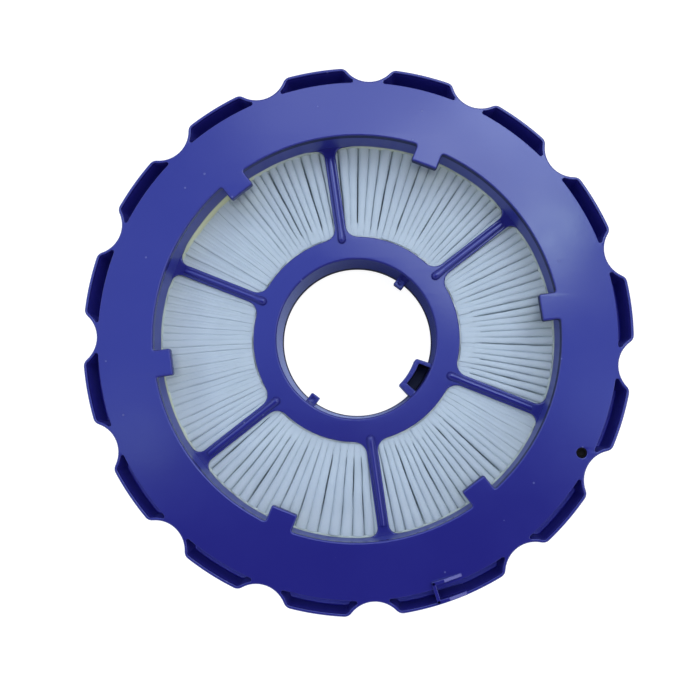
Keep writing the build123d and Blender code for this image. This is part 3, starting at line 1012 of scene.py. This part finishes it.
def black_rubber(name, grain, specks, tone, rough, shine):
    """Matt rubber with dust."""
    made, tree, shader, place = new_finish(name)
    surface = use_group(
        tree, grain, vector=place, grain_scale=1800.0, smudge_scale=120.0, smudge_sharpness=0.25
    )
    dust = use_group(tree, specks, vector=place, scale=420.0, share=0.1, size=0.2)
    colour = tree.tint(surface["Smudge"], tone, tuple(1.8 * c for c in tone))
    colour = tree.tint(tree.times(dust["Mask"], 0.35), colour, RUBBER_DUST)
    tree.feed(shader.inputs["Base Color"], colour)
    tree.feed(shader.inputs["Roughness"], tree.math("MULTIPLY_ADD", surface["Smudge"], 0.12, rough))
    shader.inputs["Specular IOR Level"].default_value = shine
    add_relief(tree, shader, surface["Height"], 0.2, 0.2)
    return made


# ---- Pieces ----

def new_piece(name, skin, finish):
    """Object made from a skin, in metres, with closed seams and outward faces."""
    mesh = bpy.data.meshes.new(name)
    mesh.from_pydata([(x * MM, y * MM, z * MM) for x, y, z in skin.points], [], skin.faces)
    rim = mesh.attributes.new("rim", "FLOAT", "POINT")
    rim.data.foreach_set("value", skin.rims)
    work = bmesh.new()
    work.from_mesh(mesh)
    bmesh.ops.remove_doubles(work, verts=work.verts, dist=WELD_DISTANCE * MM)
    bmesh.ops.recalc_face_normals(work, faces=work.faces)
    work.to_mesh(mesh)
    work.free()
    mesh.materials.append(finish)
    mesh.shade_smooth()
    mesh.set_sharp_from_angle(angle=radians(SHARP_ANGLE))
    piece = bpy.data.objects.new(name, mesh)
    bpy.context.scene.collection.objects.link(piece)
    return piece


def add_tree(piece, tree, values):
    """Geometry nodes on a piece, with their inputs set by identifier."""
    modifier = piece.modifiers.new(tree.name, "NODES")
    modifier.node_group = tree
    for item in tree.interface.items_tree:
        if item.item_type == "SOCKET" and item.in_out == "INPUT" and item.name in values:
            modifier[item.identifier] = values[item.name]


def even_normals(piece):
    """Keeps flat faces flat beside their rounded edges."""
    modifier = piece.modifiers.new("even_normals", "WEIGHTED_NORMAL")
    modifier.keep_sharp = True
    modifier.weight = 80


def settle(piece, node):
    """Makes the piece one plain mesh without modifiers and hangs it on the frame."""
    bpy.context.view_layer.update()
    depsgraph = bpy.context.evaluated_depsgraph_get()
    ready = piece.evaluated_get(depsgraph)
    mesh = bpy.data.meshes.new_from_object(ready, preserve_all_data_layers=True, depsgraph=depsgraph)
    piece.modifiers.clear()
    mesh.name = piece.name
    piece.data = mesh
    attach(piece, "root")
    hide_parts(node)


def hang(name, skin, finish, node, ring=None):
    """Piece from a skin, hung on the frame. A ring (tree, count, start angle, pitch angle) repeats it."""
    piece = new_piece(name, skin, finish)
    if ring:
        copies, count, start, pitch = ring
        add_tree(piece, copies, {"Count": count, "Start angle": start, "Pitch angle": pitch, "Finish": finish})
    even_normals(piece)
    settle(piece, node)


def face_ring(finish):
    """Grip ring: face plate, lobes with pockets, tabs, and the channel underneath."""
    skin = Skin()
    outer_top, outer_end = skin.wall(grip_loop(), FACE_LEVEL, FLANGE_LEVEL, top_edge=0.5)
    inner_top, inner_end = skin.wall(
        tab_loop(), FACE_LEVEL, PLATE_UNDERSIDE, top_edge=0.6, bottom_edge=0.3
    )
    holes = [inner_top]
    for start, end in lobe_spans():
        pocket_top, pocket_floor = skin.wall(
            pocket_loop(start, end), FACE_LEVEL, POCKET_FLOOR_LEVEL,
            top_edge=0.25, bottom_edge=-POCKET_FLOOR_ROUND,
        )
        holes.append(pocket_top)
        skin.cap([pocket_floor])
    plug_loop = ring_loop(PLUG_HOLE_RADIUS, polar(PLUG_PLACE_RADIUS, PLUG_ANGLE))[::-1]
    plug_top, plug_end = skin.wall(plug_loop, FACE_LEVEL, PLATE_UNDERSIDE, top_edge=0.3, bottom_edge=0)
    holes.append(plug_top)
    skin.cap([outer_top] + holes)
    channel = skin.rings([
        (SOCKET_RADIUS, PLATE_UNDERSIDE),
        (SOCKET_RADIUS, FLANGE_LEVEL + 0.3),
        (SOCKET_RADIUS + 0.3, FLANGE_LEVEL),
        (SOCKET_OUTER_RADIUS - 0.3, FLANGE_LEVEL),
        (SOCKET_OUTER_RADIUS, FLANGE_LEVEL + 0.3),
        (SOCKET_OUTER_RADIUS, PLATE_UNDERSIDE),
    ])
    skirt = skin.rings([
        (SKIRT_INNER_RADIUS, PLATE_UNDERSIDE),
        (SKIRT_INNER_RADIUS, FLANGE_LEVEL + 0.3),
        (SKIRT_INNER_RADIUS + 0.3, FLANGE_LEVEL),
    ])
    skin.cap([channel[0], inner_end], up=False)
    skin.cap([skirt[0], channel[-1], plug_end], up=False)
    skin.cap([outer_end, skirt[-1]], up=False)
    hang("face_ring", skin, finish, "grip_ring")


def block_loop(x0, x1, y0, y1):
    """Rectangle, anticlockwise."""
    return [(x0, y0), (x1, y0), (x1, y1), (x0, y1)]


def ring_ribs(finish, copies):
    """Ribs between the socket and the skirt, under each notch."""
    skin = Skin()
    half = RIB_THICKNESS / 2
    loop = block_loop(SOCKET_OUTER_RADIUS - 0.5, SKIRT_INNER_RADIUS + 0.5, -half, half)
    skin.prism(loop, PLATE_UNDERSIDE - RIB_DEPTH, PLATE_UNDERSIDE + 0.5, top_edge=0, bottom_edge=0.2)
    ring = (copies, NOTCH_COUNT, NOTCH_START_ANGLE, NOTCH_PITCH_ANGLE)
    hang("ring_ribs", skin, finish, "grip_ring", ring)


def profile_slab(skin, profile, near, far, edge):
    """Slab whose side profile (across, level) is swept along X from near to far, with rounded edges."""
    slab = Skin()
    slab.prism(profile, near, far, edge, edge)
    first = len(skin.points)
    skin.points += [(z, x, y) for x, y, z in slab.points]
    skin.rims += slab.rims
    skin.faces += [tuple(first + i for i in face) for face in slab.faces]


def ring_catch(finish):
    """Catch on the long lobe: a cross wall and two arms that end in ramps."""
    skin = Skin()
    floor = POCKET_FLOOR_LEVEL - 0.3
    cross = round_corners([(0, floor), (CATCH_WALL, floor), (CATCH_WALL, CATCH_LEVEL), (0, CATCH_LEVEL)], 0.3)
    profile_slab(skin, cross, CATCH_INNER_RADIUS + 0.05, CATCH_OUTER_RADIUS - 0.05, 0.2)
    arm = round_corners([
        (0, floor),
        (CATCH_LENGTH, floor),
        (CATCH_LENGTH, FACE_LEVEL + 0.05),
        (CATCH_LENGTH - CATCH_RAMP_LENGTH, CATCH_LEVEL),
        (0, CATCH_LEVEL),
    ], 0.3, 12.0)
    profile_slab(skin, arm, CATCH_INNER_RADIUS, CATCH_INNER_RADIUS + CATCH_WALL, 0.22)
    profile_slab(skin, arm, CATCH_OUTER_RADIUS - CATCH_WALL, CATCH_OUTER_RADIUS, 0.22)
    c, s = cos(radians(CATCH_ANGLE)), sin(radians(CATCH_ANGLE))
    skin.points = [(x * c - y * s, x * s + y * c, z) for x, y, z in skin.points]
    hang("ring_catch", skin, finish, "grip_ring")


def body_shell(finish):
    """Filter body: outer wall with rear flange, hub with spokes, collar round the bore and hub skirt."""
    skin = Skin()
    star_top, star_end = skin.wall(
        star_loop(), GRILLE_LEVEL, GRILLE_UNDERSIDE, top_edge=0.5, bottom_edge=0.3
    )
    places = []
    for step in range(EDGE_STEPS + 1):
        turn = pi / 2 * step / EDGE_STEPS
        places.append((
            BORE_TOP_RADIUS + BORE_TOP_ROUND * (1 - sin(turn)), GRILLE_LEVEL - BORE_TOP_ROUND * (1 - cos(turn))
        ))
    places += [
        (BORE_END_RADIUS, COLLAR_END_LEVEL + 0.4),
        (BORE_END_RADIUS + 0.12, COLLAR_END_LEVEL + 0.12),
        (BORE_END_RADIUS + 0.4, COLLAR_END_LEVEL),
        (COLLAR_RADIUS - 0.3, COLLAR_END_LEVEL),
        (COLLAR_RADIUS, COLLAR_END_LEVEL + 0.3),
        (COLLAR_RADIUS, GRILLE_UNDERSIDE),
    ]
    collar = skin.rings(places)
    skin.cap([star_top, collar[0]])
    skin.cap([star_end, collar[-1]], up=False)
    hub = rounded_section([
        (HUB_RADIUS - 0.02, GRILLE_UNDERSIDE + 0.5),
        (HUB_RADIUS - 0.02, COLLAR_END_LEVEL + 0.1),
        (HUB_INNER_RADIUS, COLLAR_END_LEVEL + 0.1),
        (HUB_INNER_RADIUS, GRILLE_UNDERSIDE + 0.5),
    ], 0.25)
    skin.rings(hub + hub[:1])
    wall = rounded_section([
        (WALL_OUTER_RADIUS, WALL_TOP_LEVEL),
        (WALL_OUTER_RADIUS, REAR_FLANGE_LEVEL),
        (REAR_FLANGE_RADIUS, REAR_FLANGE_LEVEL),
        (REAR_FLANGE_RADIUS, BODY_END_LEVEL),
        (WALL_RADIUS, BODY_END_LEVEL),
        (WALL_RADIUS, WALL_TOP_LEVEL),
    ], 0.35)
    skin.rings(wall + wall[:1])
    hang("body_shell", skin, finish, "filter_body")


def bead_profile():
    """Distance along the spoke and radius of its bead, from the swollen tip to the blunt end."""
    profile = []
    for step in range(1, BEAD_STEPS + 1):
        turn = pi / 2 * step / BEAD_STEPS
        profile.append((BEAD_START - BEAD_TIP_RADIUS * cos(turn), BEAD_TIP_RADIUS * sin(turn)))
    for step in range(1, BEAD_STEPS + 1):
        share = step / BEAD_STEPS
        ease = share * share * (3 - 2 * share)
        radius = BEAD_TIP_RADIUS + (BEAD_RADIUS - BEAD_TIP_RADIUS) * ease
        profile.append((BEAD_START + BEAD_TAPER * share, radius))
    for x in (44.0, 50.0, 56.0, 62.0, BEAD_END - 0.35):
        profile.append((x, BEAD_RADIUS))
    profile += [(BEAD_END - 0.1, BEAD_RADIUS - 0.1), (BEAD_END, BEAD_RADIUS - 0.35)]
    return profile


def spoke_beads(finish, copies):
    """Round bead on each spoke."""
    skin = Skin()
    rows = []
    for x, radius in bead_profile():
        first = len(skin.points)
        for i in range(BEAD_SIDES):
            turn = 2 * pi * i / BEAD_SIDES
            skin.points.append((x, radius * cos(turn), GRILLE_LEVEL + radius * sin(turn)))
        skin.rims += [0.0] * BEAD_SIDES
        rows.append(list(range(first, first + BEAD_SIDES)))
    skin.bands(rows)
    for row, x in ((rows[0], BEAD_START - BEAD_TIP_RADIUS), (rows[-1], BEAD_END)):
        tip = len(skin.points)
        skin.points.append((x, 0.0, GRILLE_LEVEL))
        skin.rims.append(0.0)
        skin.faces += [(row[i], row[(i + 1) % BEAD_SIDES], tip) for i in range(BEAD_SIDES)]
    ring = (copies, SPOKE_COUNT, SPOKE_ANGLE, SPOKE_PITCH_ANGLE)
    hang("spoke_beads", skin, finish, "filter_body", ring)


def bore_lugs(finish, copies):
    """Two square lugs in the bore, each with a dimple on top."""
    skin = Skin()
    half = LUG_WIDTH / 2
    loop = round_corners(block_loop(LUG_TIP_RADIUS, COLLAR_RADIUS - 0.6, -half, half), 0.4)
    top, end = skin.wall(loop, LUG_TOP_LEVEL, LUG_BASE_LEVEL, top_edge=0.25, bottom_edge=0.2)
    middle = LUG_TIP_RADIUS + half
    side = LUG_DIMPLE / 2
    dimple = round_corners(block_loop(middle - side, middle + side, -side, side), 0.3)[::-1]
    rim, floor = skin.wall(
        dimple, LUG_TOP_LEVEL, LUG_TOP_LEVEL - LUG_DIMPLE_DEPTH, top_edge=0.15, bottom_edge=-0.15
    )
    skin.cap([top, rim])
    skin.cap([floor])
    skin.cap([end], up=False)
    hang("bore_lugs", skin, finish, "filter_body", (copies, 2, LUG_ANGLE, 180.0))


def bore_box(finish):
    """Catch box in the bore: three walls round a blind slot."""
    skin = Skin()
    loop = sector_loop(BORE_END_RADIUS + 1.2, BOX_TIP_RADIUS, BOX_START_ANGLE, BOX_END_ANGLE)
    loop = round_corners(loop, 0.9)
    slot_inner = BOX_TIP_RADIUS + BOX_WALL
    side = degrees(BOX_WALL / slot_inner)
    start, end = BOX_START_ANGLE + side * 1.4, BOX_END_ANGLE - side * 0.8
    slot = sector_loop(BORE_END_RADIUS + 0.5, slot_inner, start, end)
    slot = round_corners(slot, 0.4)[::-1]
    top, end = skin.wall(loop, BOX_TOP_LEVEL, COLLAR_END_LEVEL, top_edge=0.25, bottom_edge=0.2)
    rim, floor = skin.wall(slot, BOX_TOP_LEVEL, COLLAR_END_LEVEL + BOX_FLOOR, top_edge=0.2, bottom_edge=-0.3)
    skin.cap([top, rim])
    skin.cap([floor])
    skin.cap([end], up=False)
    hang("bore_box", skin, finish, "filter_body")


def media_folds(finish):
    """The folded sheet."""
    mesh = bpy.data.meshes.new("media_folds")
    piece = bpy.data.objects.new("media_folds", mesh)
    bpy.context.scene.collection.objects.link(piece)
    add_tree(piece, folded_ring_tree(), {
        "Folds": FOLD_COUNT,
        "Inner radius": MEDIA_INNER_RADIUS * MM,
        "Outer radius": MEDIA_OUTER_RADIUS * MM,
        "Top level": MEDIA_TOP_LEVEL * MM,
        "Base level": MEDIA_BASE_LEVEL * MM,
        "Hub fill": HUB_FILL,
        "Wall fill": WALL_FILL,
        "Unevenness": FOLD_UNEVENNESS,
        "Seed": FOLD_SEED,
        "Finish": finish,
    })
    thickness = piece.modifiers.new("thickness", "SOLIDIFY")
    thickness.thickness = MEDIA_THICKNESS * MM
    thickness.offset = -1.0
    thickness.use_even_offset = False
    settle(piece, "pleated_media")
    piece.data.shade_smooth()
    piece.data.set_sharp_from_angle(angle=radians(MEDIA_SHARP_ANGLE))


def glue_bead(name, finish, node, section_at):
    """Adhesive ring whose section (radius, level) and tint change round the ring."""
    skin = Skin()
    rows = None
    for i in range(GLUE_STEPS):
        angle = -360 * i / GLUE_STEPS
        section, tint = section_at(angle)
        rows = rows or [[] for _ in section]
        for row, (radius, level) in zip(rows, section):
            x, y = polar(radius, angle)
            row.append(len(skin.points))
            skin.points.append((x, y, level))
            skin.rims.append(tint)
    skin.bands(rows + rows[:1])
    hang(name, skin, finish, node)


def hump(angle, centre, width):
    """Smooth rise to 1 at one angle and back."""
    away = abs((angle - centre + 180) % 360 - 180) / width
    return max(0.0, 1 - away * away) ** 2


def waves(angle, *parts):
    """Sum of sines round the ring: (height, count, start angle) for each."""
    return sum(height * sin(radians(angle * count + start)) for height, count, start in parts)


def wall_glue(finish):
    """Adhesive between the pleat ends and the body wall, climbing the wall a little."""

    def section_at(angle):
        """Section and tint at an angle: thickest and yellowest at one place, low under the spokes."""
        thick = hump(angle, THICK_GLUE_ANGLE, 26)
        width = 0.4 + 1.15 * thick + 0.25 * hump(angle, 200, 20) + waves(angle, (0.1, 23, 0), (0.07, 57, 40))
        rise = 0.25 * thick + waves(angle, (0.12, 7, 40), (0.1, 17, 0), (0.08, 41, 90))
        tint = 0.15 + 0.85 * hump(angle, THICK_GLUE_ANGLE, 30)
        tint += 0.5 * hump(angle, 200, 24) + 0.3 * hump(angle, 75, 40)
        half_pitch = SPOKE_PITCH_ANGLE / 2
        from_spoke = abs((angle - SPOKE_ANGLE + half_pitch) % SPOKE_PITCH_ANGLE - half_pitch)
        base = GLUE_LEVEL + WALL_CLIMB * min(1.0, max(0.0, (from_spoke - 4.6) / 2.4))
        section = [
            (GLUE_RADIUS, base + 1.0 + rise),
            (GLUE_RADIUS, GLUE_BASE_LEVEL),
            (MEDIA_OUTER_RADIUS + 0.02, GLUE_BASE_LEVEL),
            (MEDIA_OUTER_RADIUS, 14.0),
        ]
        for share in (1.0, 0.75, 0.5, 0.25, 0.08):
            level = base + 0.35 * thick + (1.0 - 0.35 * thick + rise) * (1 - share) ** 2
            section.append((GLUE_RADIUS - width * share, level))
        return section, min(1.0, tint)

    glue_bead("wall_glue", finish, "outer_potting", section_at)


def hub_glue(finish):
    """Adhesive between the pleat ends and the hub."""

    def section_at(angle):
        """Section at an angle, without tint."""
        swell = waves(angle, (0.25, 9, 0), (0.2, 23, 50))
        inner = HUB_RADIUS + 0.02
        return [
            (inner, GLUE_BASE_LEVEL),
            (38.4, GLUE_BASE_LEVEL),
            (38.9, 16.5),
            (38.6, 17.1 + swell),
            (37.9, GLUE_LEVEL + swell),
            (inner, 17.6),
        ], 0.0

    glue_bead("hub_glue", finish, "inner_potting", section_at)


def back_grille(finish):
    """Flat rear grille with six windows."""
    skin = Skin()
    loops = [ring_loop(REAR_GRILLE_RADIUS), ring_loop(REAR_GRILLE_BORE)[::-1]]
    for i in range(SPOKE_COUNT):
        start = SPOKE_ANGLE + i * SPOKE_PITCH_ANGLE
        end = start + SPOKE_PITCH_ANGLE
        loop = sector_loop(REAR_WINDOW_OUTER, REAR_WINDOW_INNER, start, end, REAR_SPOKE_WIDTH / 2)
        loops.append(round_corners(loop, REAR_WINDOW_ROUND)[::-1])
    walls = [skin.wall(loop, REAR_GRILLE_LEVEL, REAR_GRILLE_BASE, top_edge=0.25) for loop in loops]
    skin.cap([top for top, _ in walls])
    skin.cap([end for _, end in walls], up=False)
    hang("back_grille", skin, finish, "rear_grille")


def seal(name, finish, node, section):
    """Rubber ring from a section."""
    skin = Skin()
    places = rounded_section(section, SEAL_ROUND)
    skin.rings(places + places[:1])
    hang(name, skin, finish, node)


def face_plug(finish):
    """Small black plug with a shallow cup in its top."""
    skin = Skin()
    x, y = polar(PLUG_PLACE_RADIUS, PLUG_ANGLE)
    turns = [2 * pi * i / PLUG_SIDES for i in range(PLUG_SIDES)]
    rows = []
    for radius, depth in PLUG_SECTION:
        loop = [(x + radius * cos(turn), y + radius * sin(turn)) for turn in turns]
        rows.append(skin.row(loop, PLUG_TOP_LEVEL - depth))
    skin.bands(rows)
    skin.cap([rows[0]])
    skin.cap([rows[-1]], up=False)
    hang("face_plug_cup", skin, finish, "face_plug")


# ---- Stage ----

def make_floor():
    """Pale floor that shows white to the camera and keeps a faint shadow."""
    mesh = bpy.data.meshes.new("floor")
    corners = block_loop(-FLOOR_REACH, FLOOR_REACH, -FLOOR_REACH, FLOOR_REACH)
    mesh.from_pydata([(x, y, 0) for x, y in corners], [], [(0, 1, 2, 3)])
    floor = bpy.data.objects.new("floor", mesh)
    bpy.context.scene.collection.objects.link(floor)
    made = bpy.data.materials.new("white_floor")
    tree = clear_tree(made)
    matt = tree.add("ShaderNodeBsdfDiffuse", {"Color": FLOOR_GREY})
    shadowed = tree.add("ShaderNodeBsdfDiffuse", {"Color": FLOOR_SHADOWED})
    white = tree.add("ShaderNodeEmission", {"Color": (1.0, 1.0, 1.0), "Strength": FLOOR_LIGHT})
    both = tree.add("ShaderNodeAddShader", {0: shadowed.outputs[0], 1: white.outputs[0]})
    path = tree.add("ShaderNodeLightPath")
    place = tree.add("ShaderNodeTexCoord").outputs["Object"]
    # Glossy rays see the floor in blue tones, with painted light on one side and painted shade on the other
    across = tree.measure("DOT_PRODUCT", place, FLOOR_LIT_DIRECTION)
    tone = tree.tint(tree.step(across, -25 * MM, 25 * MM), FLOOR_DIM_SIDE, FLOOR_LIT_SIDE)
    mirrored = tree.add("ShaderNodeBsdfDiffuse", {"Color": tone})
    glossy = path.outputs["Is Glossy Ray"]
    other = tree.add("ShaderNodeMixShader", {0: glossy, 1: matt.outputs[0], 2: mirrored.outputs[0]})
    seen = tree.math("MAXIMUM", path.outputs["Is Camera Ray"], path.outputs["Is Transmission Ray"])
    mixed = tree.add("ShaderNodeMixShader", {0: seen, 1: other.outputs[0], 2: both.outputs[0]})
    output = tree.add("ShaderNodeOutputMaterial")
    tree.feed(output.inputs["Surface"], mixed.outputs[0])
    mesh.materials.append(made)


def make_world():
    """Soft pale sky: bright overhead towards the top of the photograph, dim towards its bottom."""
    world = bpy.data.worlds.new("soft_sky")
    bpy.context.scene.world = world
    tree = clear_tree(world)
    direction = tree.add("ShaderNodeTexCoord").outputs["Generated"]

    def lobe(x, y, width, sharpness):
        """Soft spot round the direction (x, y, 1)."""
        centre = Vector((x, y, 1.0)).normalized()
        away = tree.measure("DISTANCE", direction, tuple(centre))
        share = tree.math("POWER", tree.over(away, width), sharpness)
        return tree.math("EXPONENT", tree.times(share, -0.7))

    slope = tree.measure("DOT_PRODUCT", direction, ROOM_LIT_DIRECTION)
    room = tree.scaled(ROOM_TONE, tree.math("MULTIPLY_ADD", slope, 0.2, 1.0))
    sky = tree.tint(lobe(*OVERHEAD_SPOT), room, OVERHEAD_TONE)
    sky = tree.scaled(sky, tree.math("MULTIPLY_ADD", lobe(*DIM_SPOT), -0.95, 1.0))
    for x, y, width, sharpness, strength, tone in SKY_SPOTS:
        light = tree.scaled(tone, tree.times(lobe(x, y, width, sharpness), strength))
        sky = tree.add("ShaderNodeVectorMath", {0: sky, 1: light}, operation="ADD").outputs[0]
    glow = tree.add("ShaderNodeBackground", {"Color": sky, "Strength": 1.0}).outputs[0]
    white = tree.add("ShaderNodeBackground", {"Color": (1.0, 1.0, 1.0), "Strength": 1.0}).outputs[0]
    seen = tree.add("ShaderNodeLightPath").outputs["Is Camera Ray"]
    mixed = tree.add("ShaderNodeMixShader", {0: seen, 1: glow, 2: white})
    output = tree.add("ShaderNodeOutputWorld")
    tree.feed(output.inputs["Surface"], mixed.outputs[0])


def make_lamp(name, place, size, power, tone):
    """Soft area lamp that faces the object."""
    lamp = bpy.data.lights.new(name, "AREA")
    lamp.shape = "DISK"
    lamp.size = size
    lamp.energy = power
    lamp.color = tone
    made = bpy.data.objects.new(name, lamp)
    bpy.context.scene.collection.objects.link(made)
    made.location = place
    made.rotation_euler = Vector(place).to_track_quat("Z", "Y").to_euler()
    return made


def make_camera():
    """Camera over the filter, a little below its middle, as in the photograph."""
    lean, direction = radians(CAMERA_LEAN), radians(CAMERA_DIRECTION)
    ca, sa, ct, st = cos(direction), sin(direction), cos(lean), sin(lean)
    right = Vector((ca * ca * ct + sa * sa, sa * ca * (ct - 1), -st * ca))
    up = Vector((sa * ca * (ct - 1), sa * sa * ct + ca * ca, -st * sa))
    back = Vector((ca * st, sa * st, ct))
    shift_x, shift_y = (shift / CAMERA_PIXELS for shift in CAMERA_SHIFT)
    place = right * shift_x + up * shift_y + back * CAMERA_DISTANCE
    camera = bpy.data.cameras.new("camera")
    camera.sensor_width = SENSOR_WIDTH
    camera.sensor_fit = "HORIZONTAL"
    camera.lens = SENSOR_WIDTH * CAMERA_PIXELS * CAMERA_DISTANCE / PICTURE_WIDTH * sqrt(CAMERA_STRETCH)
    camera.clip_start = 0.01
    camera.clip_end = 20.0
    made = bpy.data.objects.new("camera", camera)
    bpy.context.scene.collection.objects.link(made)
    turn = Matrix((right, up, back)).transposed().to_4x4()
    made.matrix_world = Matrix.Translation(Vector((0, 0, FACE_LEVEL * MM)) + place * CAMERA_UNIT) @ turn
    bpy.context.scene.camera = made


def main():
    """Makes the pieces, their finishes, the stage and the light."""
    grain, specks = grain_group(), specks_group()
    plastic = blue_plastic(grain, specks)
    media = white_media(grain)
    glue = cured_glue(grain)
    seal_rubber = black_rubber("seal_rubber", grain, specks, SEAL_BLACK, 0.55, 0.4)
    plug_rubber = black_rubber("plug_rubber", grain, specks, PLUG_BLACK, 0.6, 0.12)
    copies = ring_of_copies_tree()
    face_ring(plastic)
    ring_ribs(plastic, copies)
    ring_catch(plastic)
    body_shell(plastic)
    spoke_beads(plastic, copies)
    bore_lugs(plastic, copies)
    bore_box(plastic)
    media_folds(media)
    wall_glue(glue)
    hub_glue(glue)
    back_grille(plastic)
    seal("lip_seal", seal_rubber, "outer_seal", LIP_SEAL_SECTION)
    seal("spigot_seal", seal_rubber, "bore_seal", SPIGOT_SEAL_SECTION)
    face_plug(plug_rubber)
    make_floor()
    make_world()
    make_lamp("soft_key", (0.26, 0.40, 0.60), 0.35, 0.8, (1.0, 0.99, 0.96))
    make_lamp("soft_fill", (-0.55, 0.25, 0.6), 0.4, 0.5, (0.95, 0.98, 1.0))
    make_lamp("soft_top", (0.02, -0.04, 0.75), 0.2, 1.45, (1.0, 1.0, 1.0)).visible_glossy = False
    make_camera()
    bpy.context.scene.view_settings.view_transform = "Standard"


main()
